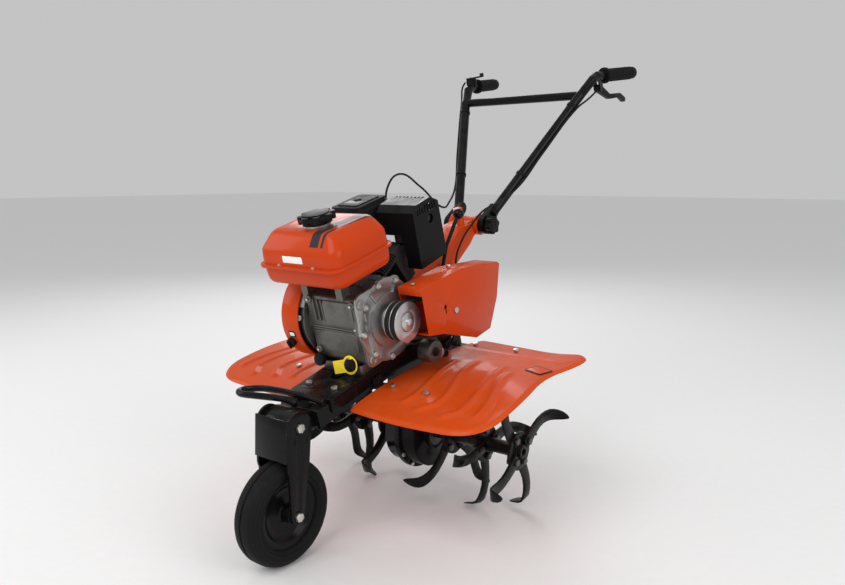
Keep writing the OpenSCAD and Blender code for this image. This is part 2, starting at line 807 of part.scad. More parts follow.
module chassis_bolts() {
    color(zinc) stand() {
        for (s = [-1, 1], p = fender_holes)
            translate([s * p[0], p[1], sheet_z(p[1] - 7.6) + 2.8]) bolt(4, 14);
        for (x = [-38, 38]) translate([x, bed_bolt_ys[0], base_z]) bolt(4.2, 30);
        for (x = [-38, 38]) translate([x, bed_bolt_ys[1], base_z + 22]) bolt(4.2, 52);
        for (p = case_bolt_points) translate([6, p[0], p[1]]) rotate([0, 90, 0]) bolt(3.1, 14);
        for (s = [-1, 1]) translate([s * (rail_x + 0.1), 40, 200])
            rotate([0, s * 90, 0]) bolt(4.2, 9.9);
        axle(tilt, 8, -62, 66);
        translate([-62, tilt[0], tilt[1]]) rotate([0, -90, 0]) cylinder(h = 8, r = 13, $fn = 6);
        axle(shift_pivot, 5, 34.1, 60);
        axle(shift_pivot, 9, 58.3, 61);
        axle(fork_top, 6.2, -52, 52);
        for (s = [-1, 1]) translate([s * 48, fork_top[0], fork_top[1]]) rotate([0, s * 90, 0])
            cylinder(h = 6, r = 10, $fn = 6);
    }
}

// Rotors

// Each bank of four tines, counted from the middle: its flange and how far it is turned
function bank_x(k) = rotor_half - 14 - 92 * (2 - k);
bank_turn = [-150.5, -97, -74];

module output_shaft() {
    color([0.25, 0.25, 0.26]) stand() {
        axle(output, 17.5, -60, 60);
        for (s = [-1, 1]) translate([s > 0 ? 60 : -rotor_half, 0, 0]) rotate([90, 0, 90])
            linear_extrude(rotor_half - 60) difference() {
                circle(17, $fn = 6);
                circle(9);
            }
        for (s = [-1, 1], k = [0 : 2]) difference() {
            axle(output, 46, s * bank_x(k) - 3.5, s * bank_x(k) + 3.5);
            axle(output, 9, -400, 400);
            for (q = [0 : 3]) axle(polar(34, bank_turn[k] + 90 * q), 5.1, -400, 400);
        }
    }
}

module output_sprocket() {
    color([0.3, 0.3, 0.32]) stand() difference() {
        union() {
            axle(output, chain_r(36) - 3.6, sprocket_x - 3, sprocket_x + 3);
            axle(output, 28, sprocket_x - 10, sprocket_x + 14);
        }
        axle(output, 17.55, -60, 60);
        for (a = [0 : 60 : 300]) axle(output + polar(46, a), 10, -60, 60);
    }
}

module counter_gear() {
    color([0.4, 0.4, 0.42]) stand() {
        axle(counter, 7.5, -42.8, 42.8);
        across(6, 24) translate(counter) rotate(gear_phase) gear_outline(54, gear_m);
        axle(counter, chain_r(9) - 3.6, sprocket_x - 3, sprocket_x + 3);
        axle(counter, 12, sprocket_x - 8, 6.5);
    }
}
// Turn that sets a gap of the big gear where a tooth of the pinion points
mesh_angle = atan2(input[1] - counter[1], input[0] - counter[0]);
gear_phase = mesh_angle - 180 / 54;

module input_shaft() {
    color(zinc) stand() {
        axle(input, 8.5, -42.8, 150);
        across(2, 28) translate(input) rotate(mesh_angle) gear_outline(12, gear_m);
        translate([150, input[0], input[1]]) rotate([0, 90, 0]) cylinder(h = 5, r = 13, $fn = 6);
    }
}

// One tine: an arm from the flange, then a blade turned sideways at the tip
module tine(side) {
    difference() {
        union() {
            across(-3.5, 3.5) difference() {
                union() {
                    translate([26, -tine_w / 2]) square([70, tine_w]);
                    translate([96, -46]) difference() {
                        circle(61);
                        circle(31);
                        translate([-80, -80]) square([80, 160]);
                        translate([-80, -80]) square([160, 80 - 12]);
                    }
                }
                translate([rotor_r, -100]) square([40, 200]);
            }
            across(side > 0 ? -3.5 : -46.5, side > 0 ? 46.5 : 3.5) intersection() {
                difference() {
                    circle(rotor_r);
                    circle(rotor_r - 6);
                }
                polygon([[0, 0], polar(220, -24), polar(220, -8)]);
            }
        }
        axle([34, 0], 5.1, -10, 10);
    }
}

module tine_banks() {
    for (k = [0 : 2], q = [0 : 3]) let (side = q % 2 == 0 ? -1 : 1)
        translate([bank_x(k) + side * 7.1, 0, 0]) rotate([q * 90 + bank_turn[k], 0, 0]) tine(side);
}

module tines_left() {
    color(black) stand() tine_banks();
}

module tines_right() {
    color(black) stand() mirror([1, 0, 0]) tine_banks();
}

module tine_bolts() {
    color(zinc) stand() for (s = [0, 1]) mirror([s, 0, 0]) for (k = [0 : 2], q = [0 : 3])
        let (side = q % 2 == 0 ? -1 : 1) translate([bank_x(k), 0, 0])
            rotate([q * 90 + bank_turn[k], 0, 0]) translate([0, 34, 0]) rotate([0, side * 90, 0]) {
                translate([0, 0, 10.8]) cylinder(h = 6, r = 8.5, $fn = 6);
                translate([0, 0, -10]) cylinder(h = 22, r = 5);
                translate([0, 0, -10.7]) cylinder(h = 7, r = 8.5, $fn = 6);
            }
}

// Front wheel

wheel_dir = wheel - fork_top;
module wheel_fork() {
    color(black) stand() {
        for (s = [-1, 1]) difference() {
            across(s * 44.3 - 3, s * 44.3 + 3) union() {
                loop2(fork_top, 34, fork_top + wheel_dir * 0.42, 30);
                loop2(fork_top + wheel_dir * 0.42, 27, wheel, 17);
            }
            axle(fork_top, 6.3, -60, 60);
            axle(wheel, 6.1, -60, 60);
        }
        difference() {
            across(-47, 47) translate(fork_top) rotate(atan2(wheel_dir[1], wheel_dir[0]))
                translate([-20, -35]) square([88, 5]);
            axle(fork_top, 28, -60, 60);
        }
    }
}

module fork_bolts() {
    color(zinc) stand() {
        axle(wheel, 6, -52, 52);
        for (s = [-1, 1]) translate([s * 47.4, wheel[0], wheel[1]]) rotate([0, s * 90, 0])
            cylinder(h = 7, r = 10, $fn = 6);
        for (s = [-1, 1]) across(s * 40.4 - 0.8, s * 40.4 + 0.8) translate(wheel) difference() {
            circle(12);
            circle(5.9);
        }
    }
}

module wheel_rim() {
    color([0.1, 0.1, 0.1]) stand() difference() {
        union() {
            axle(wheel, 74, -20, 20);
            axle(wheel, 18, -38, 38);
        }
        for (s = [-1, 1]) difference() {
            axle(wheel, 66, s > 0 ? 4 : -30, s > 0 ? 30 : -4);
            axle(wheel, 24, -40, 40);
        }
        axle(wheel, 6.08, -50, 50);
        for (a = [0 : 60 : 300]) axle(wheel + polar(45, a + 20), 9, -50, 50);
    }
}

module wheel_tyre() {
    color([0.05, 0.05, 0.05]) stand() translate([0, wheel[0], wheel[1]]) rotate([0, 90, 0])
        rotate_extrude($fn = 96) difference() {
            translate([74.1, -tyre_w / 2]) polygon([[0, 10], [6, 2], [18, 0], [30, 6], [wheel_r - 76.1, 14],
                [wheel_r - 74.1, 20], [wheel_r - 74.1, tyre_w - 20], [wheel_r - 76.1, tyre_w - 14],
                [30, tyre_w - 6], [18, tyre_w], [6, tyre_w - 2], [0, tyre_w - 10]]);
            translate([wheel_r - 3, -2]) square([5, 4]);
        }
}

// Rear hitch, depth stake, gear lever and the small controls

module hitch_bracket() {
    color(black) stand() difference() {
        union() {
            for (s = [-1, 1]) translate([s * 16.8 - 4, 70, 40]) cube([8, 158, 70]);
            translate([-44, 70, 40]) cube([88, 48, 70]);
        }
        case_space();
        axle([212, 75], 6.5, -30, 30);
        axle([180, 75], 5.1, -30, 30);
    }
}

module drag_stake() {
    color(black) stand() difference() {
        across(-12, 12) polygon([[168, 190], [192, 190], [192, -40], [180, -66], [168, -40]]);
        for (z = [15 : 30 : 165]) axle([180, z], 5.1, -30, 30);
    }
}

shift_pivot = [120, 376];
module gear_lever() {
    color(black) stand() difference() {
        union() {
            bent([[52, 120, 376], [52, 160, 440], [52, 230, 500]], 5);
            translate([52, 230, 500]) sphere(14);
            axle(shift_pivot, 12, 46, 58);
        }
        axle(shift_pivot, 5.05, 30, 70);
    }
}

module starter_grip() {
    color(black) stand() translate([-144, crank[0], crank[1]]) rotate([-38, 0, 0]) {
        translate([0, 0, 93]) cylinder(h = 16, r1 = 8, r2 = 10);
        translate([0, -26, 116]) rotate([-90, 0, 0]) cylinder(h = 52, r = 9);
        translate([0, -26, 116]) sphere(9);
        translate([0, 26, 116]) sphere(9);
        translate([0, 0, 72]) cylinder(h = 24, r = 2.9);
    }
}

// Control cables: the clutch cable runs up the left arm, the throttle cable up the right

cable_r = 3;
clutch_low = [[103, 20, 219], [97, 70, 236], [80, 130, 272], [66, 165, 330], [57, 182, 390], [50, 230, 428],
    [52, 290, 458], [58, 322, 470]];
throttle_low = [[-60, 33.5, 492], [-62, 66, 500], [-66, 92, 540], [-72, 126, 600], [-78, 186, 616],
    [-78, 262, 560], [-66, 318, 484]];
module lower_cables() {
    color(black) stand() {
        cable(smooth(clutch_low, 2), cable_r);
        cable(smooth(throttle_low, 2), cable_r);
    }
}

clutch_high = [[62, 338, 480], [76, 376, 484], [101, 443, 505], [140, 532, 576], [192, 651, 668],
    [206, 700, 684], [208, 744, 694]];
throttle_high = [[-68, 340, 482], [-80, 380, 485], [-101, 443, 505], [-140, 532, 576], [-192, 651, 668],
    [-216, 704, 702], [-227, 735, 738], [-226, 751, 750]];
module upper_cables() {
    color(black) stand() {
        cable(smooth(clutch_high, 2), cable_r);
        cable(smooth(throttle_high, 2), cable_r);
    }
}

frame_rails();
engine_bed();
front_bracket();
lift_hoop();
gearbox_left();
gearbox_right();
gear_bearings();
drive_chain();
crankcase();
side_cover();
cylinder_block();
rocker_cover();
fan_housing();
starter_cover();
fuel_tank();
muffler();
muffler_shroud();
air_filter();
carburettor();
spark_plug();
oil_plugs();
belt_cover();
belt_cover_back();
cover_screws();
v_belts();
handle_column();
fender_left();
fender_right();
fender_brackets();
chassis_bolts();
hitch_bracket();
lower_cables();
crankshaft();
drive_pulley();
flywheel();
input_shaft();
driven_pulley();
counter_gear();
output_shaft();
output_sprocket();
tines_left();
tines_right();
tine_bolts();
wheel_fork();
fork_bolts();
wheel_rim();
wheel_tyre();
handlebar();
hand_grips();
upper_cables();
clutch_lever();
throttle_lever();
idler_arm();
idler_pulley();
starter_grip();
fuel_cap();
engine_switch();
gear_lever();
clamp_knob();
drag_stake();
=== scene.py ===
import bpy
import bmesh
import json
from math import pi, sin, cos, radians, sqrt, exp
from mathutils import Matrix, Vector
from mathutils.geometry import intersect_point_line


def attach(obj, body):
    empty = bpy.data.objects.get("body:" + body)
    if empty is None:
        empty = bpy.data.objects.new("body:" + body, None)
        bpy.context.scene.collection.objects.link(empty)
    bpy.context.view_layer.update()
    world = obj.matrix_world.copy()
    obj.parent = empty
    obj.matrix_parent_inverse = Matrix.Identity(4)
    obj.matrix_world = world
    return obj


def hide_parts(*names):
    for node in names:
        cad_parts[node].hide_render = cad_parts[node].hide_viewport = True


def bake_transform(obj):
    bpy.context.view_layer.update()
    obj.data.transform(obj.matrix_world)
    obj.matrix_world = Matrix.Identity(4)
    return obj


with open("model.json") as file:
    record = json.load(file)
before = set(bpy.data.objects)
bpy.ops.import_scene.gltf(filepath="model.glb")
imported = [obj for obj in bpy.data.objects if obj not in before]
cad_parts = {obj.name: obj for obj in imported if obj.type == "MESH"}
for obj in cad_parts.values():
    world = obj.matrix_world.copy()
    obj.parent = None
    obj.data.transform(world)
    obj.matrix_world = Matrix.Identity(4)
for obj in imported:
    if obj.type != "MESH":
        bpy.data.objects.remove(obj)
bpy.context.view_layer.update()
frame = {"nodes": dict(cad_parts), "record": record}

nodes = frame["nodes"]
bodyOf = {n: b for b, ns in frame["record"]["behaviour"]["bodies"].items() for n in ns}

# the machine is drawn level, in mm, then tipped nose-down onto its wheel
stance = radians(15.8)
stand = Matrix.Translation((0, -0.0655, 0.169)) @ Matrix.Rotation(stance, 4, "X")
level = stand.inverted()


def mm(x, y, z):
    return Vector((x, y, z)) / 1000


def deselect():
    if bpy.context.object and bpy.context.object.mode != "OBJECT":
        bpy.ops.object.mode_set(mode="OBJECT")
    bpy.ops.object.select_all(action="DESELECT")


def pick(obj):
    deselect()
    obj.select_set(True)
    bpy.context.view_layer.objects.active = obj


# camera first
camera = {"place": (1.143, -1.5535, 0.803), "yaw": 37.43, "down": 8.62, "lens": 32.24}
cam = bpy.data.cameras.new("camera")
cam.lens = camera["lens"]
cam.sensor_width = 36
camObject = bpy.data.objects.new("camera", cam)
camObject.location = camera["place"]
camObject.rotation_euler = (radians(90 - camera["down"]), 0, radians(camera["yaw"]))
bpy.context.scene.collection.objects.link(camObject)
bpy.context.scene.camera = camObject
print("camera set")


# finishes: a socket that can be used in sums, and a material being made

class Val:
    def __init__(self, make, socket):
        self.make, self.socket = make, socket

    def do(self, operation, a, b=None, c=None):
        return self.make.node("ShaderNodeMath", {"operation": operation}, [a, b, c])

    def __add__(self, o): return self.do("ADD", self, o)
    def __radd__(self, o): return self.do("ADD", o, self)
    def __sub__(self, o): return self.do("SUBTRACT", self, o)
    def __rsub__(self, o): return self.do("SUBTRACT", o, self)
    def __mul__(self, o): return self.do("MULTIPLY", self, o)
    def __rmul__(self, o): return self.do("MULTIPLY", o, self)
    def __truediv__(self, o): return self.do("DIVIDE", self, o)
    def __pow__(self, o): return self.do("POWER", self, o)
    def __gt__(self, o): return self.do("GREATER_THAN", self, o)
    def __lt__(self, o): return self.do("LESS_THAN", self, o)
    def least(self, o): return self.do("MINIMUM", self, o)
    def size(self): return self.do("ABSOLUTE", self)


class Finish:
    def __init__(self, name, **fixed):
        self.material = bpy.data.materials.new(name)
        self.material.use_nodes = True
        self.tree = self.material.node_tree
        self.shader = self.tree.nodes["Principled BSDF"]
        for key, value in fixed.items():
            self.shader.inputs[key.replace("_", " ")].default_value = value
        self.place = self.node("ShaderNodeTexCoord", {}, [], "Object")

    def node(self, kind, settings, values, out=0):
        n = self.tree.nodes.new(kind)
        for key, value in settings.items():
            if key == "stops":
                ramp = n.color_ramp
                while len(ramp.elements) < len(value):
                    ramp.elements.new(0.5)
                for e, (at, colour) in zip(ramp.elements, value):
                    e.position = at
                    e.color = colour if hasattr(colour, "__len__") else (colour, colour, colour, 1)
            else:
                setattr(n, key, value)
        pairs = values.items() if isinstance(values, dict) else enumerate(values)
        for key, value in pairs:
            if value is None:
                continue
            if isinstance(value, Val):
                self.tree.links.new(value.socket, n.inputs[key])
            else:
                n.inputs[key].default_value = value
        return Val(self, n.outputs[out])

    def noise(self, scale, detail=3.0, rough=0.5, warp=0.0, place=None):
        return self.node("ShaderNodeTexNoise", {}, {"Vector": place or self.place, "Scale": scale,
            "Detail": detail, "Roughness": rough, "Distortion": warp}, "Fac")

    def cells(self, scale, feature="F1"):
        return self.node("ShaderNodeTexVoronoi", {"feature": feature},
            {"Vector": self.place, "Scale": scale}, "Distance")

    def ramp(self, value, low, high):
        return self.node("ShaderNodeMapRange", {"clamp": True}, [value, low, high, 0.0, 1.0])

    def blend(self, factor, a, b):
        return self.node("ShaderNodeMix", {"data_type": "RGBA"}, {0: factor, 6: a, 7: b}, 2)

    def levelPlace(self):
        back = level.translation
        return self.node("ShaderNodeMapping", {}, {"Vector": self.place, "Location": tuple(back),
            "Rotation": (-stance, 0, 0)})

    def axes(self, vector, kind="ShaderNodeSeparateXYZ"):
        n = self.tree.nodes.new(kind)
        self.tree.links.new(vector.socket, n.inputs[0])
        return [Val(self, o) for o in n.outputs]

    def upward(self):  # 1 on faces that look up
        return self.axes(self.node("ShaderNodeNewGeometry", {}, [], "Normal"))[2]

    def edges(self, radius):  # 1 along edges, 0 on open faces
        soft = self.node("ShaderNodeBevel", {"samples": 4}, {"Radius": radius})
        flat = self.node("ShaderNodeNewGeometry", {}, [], "Normal")
        same = self.node("ShaderNodeVectorMath", {"operation": "DOT_PRODUCT"}, [soft, flat], "Value")
        return self.ramp(1 - same, 0.02, 0.2)

    def set(self, **links):
        for key, value in links.items():
            self.tree.links.new(value.socket, self.shader.inputs[key.replace("_", " ")])
        return self.material

    def bump(self, height, strength, distance):
        return self.node("ShaderNodeBump", {}, {"Height": height, "Strength": strength, "Distance": distance},
            "Normal")


def rgb(r, g, b):
    return (r, g, b, 1.0)


dustColour = rgb(0.33, 0.27, 0.2)


def glossPaint(name, colour, deep, rough=0.3, coat=0.16, dust=0.16, wear=0.5, bare=rgb(0.1, 0.09, 0.085)):
    f = Finish(name, Coat_Roughness=0.09, Specular_IOR_Level=0.08)
    f.shader.inputs["Coat Weight"].default_value = coat
    tone = f.noise(7, 3)
    blotch = f.ramp(f.noise(38, 6, 0.62), 0.5, 0.72)
    peel = f.noise(520, 2, 0.5)
    fall = f.ramp(f.upward(), 0.25, 1.0) * f.ramp(f.noise(24, 7, 0.66), 0.42, 0.7)
    chips = f.edges(0.0016) * f.ramp(f.noise(260, 5, 0.7), 0.56, 0.62) * wear
    base = f.blend(tone, deep, colour)
    base = f.blend(fall * dust, base, dustColour)
    base = f.blend(chips, base, bare)
    return f.set(Base_Color=base, Roughness=rough + blotch * 0.09 + fall * 0.22 + chips * 0.3,
        Normal=f.bump(peel + f.noise(30, 2) * 3, 0.12, 0.00035))


def blackPaint(name, tint=0.004, rough=0.22, wear=0.3, soil=0.0):
    f = Finish(name, Coat_Roughness=0.1, Specular_IOR_Level=0.08)
    f.shader.inputs["Coat Weight"].default_value = 0.12
    tone = f.noise(16, 4)
    scuff = f.ramp(f.noise(90, 8, 0.7, 0.6), 0.55, 0.75)
    fall = f.ramp(f.upward(), 0.1, 1.0) * f.ramp(f.noise(30, 7, 0.65), 0.4, 0.75)
    chips = f.edges(0.0018) * f.ramp(f.noise(300, 5, 0.7), 0.5, 0.6) * wear
    base = f.blend(tone, rgb(tint * 0.7, tint * 0.7, tint * 0.75), rgb(tint * 1.7, tint * 1.7, tint * 1.9))
    base = f.blend(fall * 0.07, base, dustColour)
    if soil:
        base = f.blend(f.ramp(f.noise(45, 8, 0.7), 0.5, 0.66) * soil, base, rgb(0.12, 0.085, 0.06))
    base = f.blend(chips, base, rgb(0.23, 0.22, 0.21))
    return f.set(Base_Color=base, Roughness=rough + scuff * 0.14 + fall * 0.25 + chips * 0.15,
        Normal=f.bump(f.noise(700, 2) + f.noise(60, 3) * 2, 0.13, 0.0003))


def castMetal(name, colour, rough, metal, grain=0.5, stain=0.3):
    f = Finish(name)
    f.shader.inputs["Metallic"].default_value = metal
    sand = f.noise(1300, 3, 0.6)
    pits = f.ramp(f.cells(420), 0.0, 0.35)
    smear = f.ramp(f.noise(32, 8, 0.66, 0.5), 0.48, 0.72)
    edge = f.edges(0.0014)
    dark = tuple(c * 0.55 for c in colour[:3]) + (1.0,)
    bright = tuple(min(1, c * 1.25) for c in colour[:3]) + (1.0,)
    base = f.blend(smear * stain, colour, dark)
    base = f.blend(edge * 0.5, base, bright)
    return f.set(Base_Color=base, Roughness=rough + smear * 0.16 - edge * 0.12 + sand * 0.06,
        Normal=f.bump(sand + pits * 0.6, grain, 0.0005))


def plainMetal(name, colour, rough, stretch=(1, 1, 1)):
    f = Finish(name)
    f.shader.inputs["Metallic"].default_value = 0.92
    line = f.node("ShaderNodeMapping", {}, {"Vector": f.place, "Scale": stretch})
    brush = f.noise(900, 3, 0.6, 0, line)
    cloud = f.noise(60, 6, 0.6)
    tarnish = tuple(c * 0.62 for c in colour[:3]) + (1.0,)
    return f.set(Base_Color=f.blend(f.ramp(cloud, 0.45, 0.75) * 0.5, colour, tarnish),
        Roughness=rough + cloud * 0.14 + brush * 0.06, Normal=f.bump(brush, 0.12, 0.0002))


def moulded(name, colour, rough, grain=700, depth=0.25, sheen=0.0):
    f = Finish(name, Specular_IOR_Level=0.09)
    f.shader.inputs["Sheen Weight"].default_value = sheen * 0.2
    pebble = f.cells(grain)
    cloud = f.noise(24, 6, 0.6)
    fall = f.ramp(f.upward(), 0.2, 1.0) * f.ramp(f.noise(40, 7, 0.65), 0.45, 0.75)
    worn = tuple(c * 1.7 + 0.002 for c in colour[:3]) + (1.0,)
    base = f.blend(cloud * 0.5, colour, worn)
    base = f.blend(fall * 0.05, base, dustColour)
    return f.set(Base_Color=base, Roughness=rough + cloud * 0.1 + fall * 0.12,
        Normal=f.bump(pebble + f.noise(grain * 2, 2) * 0.5, depth, 0.0004))


orangePaint = glossPaint("orangePaint", rgb(0.62, 0.062, 0.004), rgb(0.52, 0.045, 0.003), dust=0.06)
pressedOrange = glossPaint("pressedOrange",
    rgb(0.68, 0.078, 0.006), rgb(0.58, 0.058, 0.004), 0.32, 0.15, 0.07, 0.4)
framePaint = blackPaint("framePaint")
tinePaint = blackPaint("tinePaint", 0.005, 0.3, 0.5, 0.14)
barPaint = blackPaint("barPaint", 0.004, 0.16, 0.15)
sheetPaint = blackPaint("sheetPaint", 0.005, 0.28, 0.2)
castAlloy = castMetal("castAlloy", rgb(0.15, 0.148, 0.132), 0.34, 0.85, 0.4, 0.6)
coverAlloy = castMetal("coverAlloy", rgb(0.36, 0.36, 0.35), 0.3, 0.88, 0.3, 0.45)
blackIron = castMetal("blackIron", rgb(0.022, 0.022, 0.023), 0.55, 0.35, 0.5, 0.4)
darkSteel = castMetal("darkSteel", rgb(0.12, 0.118, 0.115), 0.4, 0.85, 0.25, 0.5)
zinc = plainMetal("zinc", rgb(0.62, 0.61, 0.57), 0.27)
bareSteel = plainMetal("bareSteel", rgb(0.6, 0.6, 0.6), 0.22, (1, 0.05, 1))
silverTube = plainMetal("silverTube", rgb(0.72, 0.71, 0.68), 0.2, (1, 1, 0.04))
blackPlastic = moulded("blackPlastic", rgb(0.006, 0.006, 0.0065), 0.33)
softPlastic = moulded("softPlastic", rgb(0.008, 0.008, 0.0085), 0.42, 480, 0.3)
gripRubber = moulded("gripRubber", rgb(0.007, 0.007, 0.007), 0.6, 900, 0.5, 0.05)
tyreRubber = moulded("tyreRubber", rgb(0.0075, 0.0075, 0.008), 0.55, 620, 0.4, 0.05)
beltRubber = moulded("beltRubber", rgb(0.02, 0.019, 0.018), 0.7, 1200, 0.4, 0.1)
cableSkin = moulded("cableSkin", rgb(0.01, 0.01, 0.01), 0.33, 1400, 0.15)
yellowCard = moulded("yellowCard", rgb(0.82, 0.62, 0.03), 0.42, 900, 0.12)
whiteLabel = moulded("whiteLabel", rgb(0.8, 0.8, 0.78), 0.3, 900, 0.05)
greyLabel = moulded("greyLabel", rgb(0.2, 0.2, 0.21), 0.32, 900, 0.05)
blackLabel = moulded("blackLabel", rgb(0.01, 0.01, 0.01), 0.3, 900, 0.05)


def stripedPaint():  # tank paint with two dark bands over its top
    f = Finish("stripedPaint", Coat_Roughness=0.09, Specular_IOR_Level=0.08)
    f.shader.inputs["Coat Weight"].default_value = 0.2
    x, y, z = f.axes(f.levelPlace())
    lean = x - y * 0.1
    wide = (lean - 0.068).size() < 0.012
    thin = (lean - 0.09).size() < 0.0035
    top = z > 0.583
    band = (wide + thin).least(1.0) * top * (y > -0.262)
    tone = f.noise(7, 3)
    fall = f.ramp(f.upward(), 0.25, 1.0) * f.ramp(f.noise(24, 7, 0.66), 0.42, 0.7)
    base = f.blend(tone, rgb(0.5, 0.04, 0.003), rgb(0.6, 0.055, 0.004))
    base = f.blend(band, base, rgb(0.03, 0.03, 0.033))
    base = f.blend(fall * 0.05, base, dustColour)
    return f.set(Base_Color=base, Roughness=0.3 + fall * 0.18 + band * 0.08,
        Normal=f.bump(f.noise(520, 2) + f.noise(30, 2) * 3, 0.1, 0.0003))


tankPaint = stripedPaint()
print("finishes made")


# pieces

def bake():
    bpy.ops.object.transform_apply(location=True, rotation=True, scale=True)


def settle(obj, surface, body, slotName, *standsFor, leveled=True, angle=35):
    pick(obj)
    if leveled:
        obj.matrix_world = stand @ obj.matrix_world
    bpy.ops.object.transform_apply(location=True, rotation=True, scale=True)
    if surface:
        obj.data.materials.clear()
        obj.data.materials.append(surface)
    bpy.ops.object.shade_smooth_by_angle(angle=radians(angle))
    if body:
        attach(obj, body)
    if standsFor:
        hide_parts(*standsFor)
    return obj


def polish(node, surface, soften=0.8, segments=2, accents=(), angle=34, floor=30):
    # the CAD piece with its edges broken; accents are (finish, test on level place and normal)
    mesh = nodes[node].data.copy()
    piece = bpy.data.objects.new(node + "_made", mesh)
    bpy.context.scene.collection.objects.link(piece)
    pick(piece)
    bpy.ops.object.mode_set(mode="EDIT")
    bpy.ops.mesh.select_all(action="SELECT")
    bpy.ops.mesh.remove_doubles(threshold=0.000004)
    bpy.ops.mesh.customdata_custom_splitnormals_clear()
    bpy.ops.mesh.dissolve_limited(angle_limit=radians(0.6))
    bpy.ops.object.mode_set(mode="OBJECT")
    if soften:
        b = piece.modifiers.new("bevel", "BEVEL")
        b.width = soften / 1000
        b.segments = segments
        b.limit_method = "ANGLE"
        b.angle_limit = radians(floor)
        b.miter_outer = "MITER_ARC"
        bpy.ops.object.modifier_apply(modifier="bevel")
    mesh = piece.data
    mesh.materials.clear()
    mesh.materials.append(surface)
    for index, (finish, test) in enumerate(accents):
        mesh.materials.append(finish)
        for face in mesh.polygons:
            turned = level.to_3x3() @ face.normal
            if test((level @ face.center) * 1000, turned):
                face.material_index = index + 1
    bpy.ops.object.shade_smooth_by_angle(angle=radians(angle))
    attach(piece, bodyOf[node])
    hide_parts(node)
    return piece


def grow(w, d, corner, rows, segments=8):
    # a rounded oblong drawn up through rows of (height, width, depth, shift y)
    bpy.ops.mesh.primitive_plane_add(size=1, location=(0, 0, 0))
    obj = bpy.context.object
    bpy.ops.object.mode_set(mode="EDIT")
    bpy.ops.transform.resize(value=(w / 1000, d / 1000, 1))
    bpy.ops.mesh.bevel(offset=corner / 1000, segments=segments, affect="VERTICES")
    bpy.ops.transform.translate(value=(0, rows[0][3] / 1000, rows[0][0] / 1000))
    now = [rows[0][0], w, d, rows[0][3]]
    for z, w2, d2, y2 in rows[1:]:
        bpy.ops.mesh.extrude_region_move(TRANSFORM_OT_translate={"value": (0, (y2 - now[3]) / 1000,
            (z - now[0]) / 1000)})
        bpy.ops.transform.resize(value=(w2 / now[1], d2 / now[2], 1))
        now = [z, w2, d2, y2]
    bpy.ops.mesh.select_all(action="SELECT")
    bpy.ops.mesh.normals_make_consistent(inside=False)
    bpy.ops.object.mode_set(mode="OBJECT")
    return obj


def turned(profile, steps=64):
    # a profile of (radius, height) in mm, spun about Z
    bpy.ops.mesh.primitive_plane_add(size=0.001, location=(0, 0, 0))
    obj = bpy.context.object
    bpy.ops.object.mode_set(mode="EDIT")
    bm = bmesh.from_edit_mesh(obj.data)
    bm.verts.ensure_lookup_table()
    for v in bm.verts[1:]:
        v.select_set(True)
    first = bm.verts[0]
    bmesh.ops.delete(bm, geom=[v for v in bm.verts if v != first], context="VERTS")
    first.co = (profile[0][0] / 1000, 0, profile[0][1] / 1000)
    first.select_set(True)
    bmesh.update_edit_mesh(obj.data)
    for a, b in zip(profile, profile[1:]):
        bpy.ops.mesh.extrude_vertices_move(TRANSFORM_OT_translate={"value": ((b[0] - a[0]) / 1000, 0,
            (b[1] - a[1]) / 1000)})
    bpy.ops.mesh.select_all(action="SELECT")
    bpy.ops.mesh.spin(steps=steps, angle=2 * pi, center=(0, 0, 0), axis=(0, 0, 1))
    bpy.ops.mesh.select_all(action="SELECT")
    bpy.ops.mesh.remove_doubles(threshold=0.00001)
    bpy.ops.mesh.normals_make_consistent(inside=False)
    bpy.ops.object.mode_set(mode="OBJECT")
    return obj


def run(name, points, radius, sides=3, leveled=True):
    # a round wire or tube through points in mm
    curve = bpy.data.curves.new(name, "CURVE")
    curve.dimensions = "3D"
    curve.bevel_depth = radius / 1000
    curve.bevel_resolution = sides
    curve.resolution_u = 10
    curve.use_fill_caps = True
    spline = curve.splines.new("BEZIER")
    spline.bezier_points.add(len(points) - 1)
    for p, at in zip(spline.bezier_points, points):
        p.co = mm(*at)
        p.handle_left_type = p.handle_right_type = "AUTO"
    obj = bpy.data.objects.new(name, curve)
    bpy.context.scene.collection.objects.link(obj)
    pick(obj)
    bpy.ops.object.convert(target="MESH")
    return bpy.context.object


def axisX(obj, at):  # stands a piece made along Z on its side, along X, at a level place
    obj.matrix_world = Matrix.Translation(mm(*at)) @ Matrix.Rotation(pi / 2, 4, "Y") @ obj.matrix_world
    return obj


def joinAll(pieces, name):
    deselect()
    for p in pieces:
        p.select_set(True)
    bpy.context.view_layer.objects.active = pieces[0]
    bpy.ops.object.join()
    pieces[0].name = name
    return pieces[0]


def label(name, w, d, surface, matrix, body, slotName, corner=3, thick=0.5):
    obj = grow(w, d, corner, [(0, w, d, 0), (thick * 0.7, w, d, 0), (thick, w - 0.8, d - 0.8, 0)], 4)
    obj.name = name
    obj.matrix_world = matrix
    return settle(obj, surface, body, slotName)


def aim(at, normal, up=(0, 0, 1)):  # matrix with Z along normal and Y near up, at a level place in mm
    z = Vector(normal).normalized()
    x = Vector(up).cross(z).normalized()
    y = z.cross(x)
    m = Matrix((x, y, z)).transposed().to_4x4()
    return Matrix.Translation(mm(*at)) @ m


deselect()

# fenders: pressed sheets with S-shaped ribs, a rolled edge and a raised rear corner

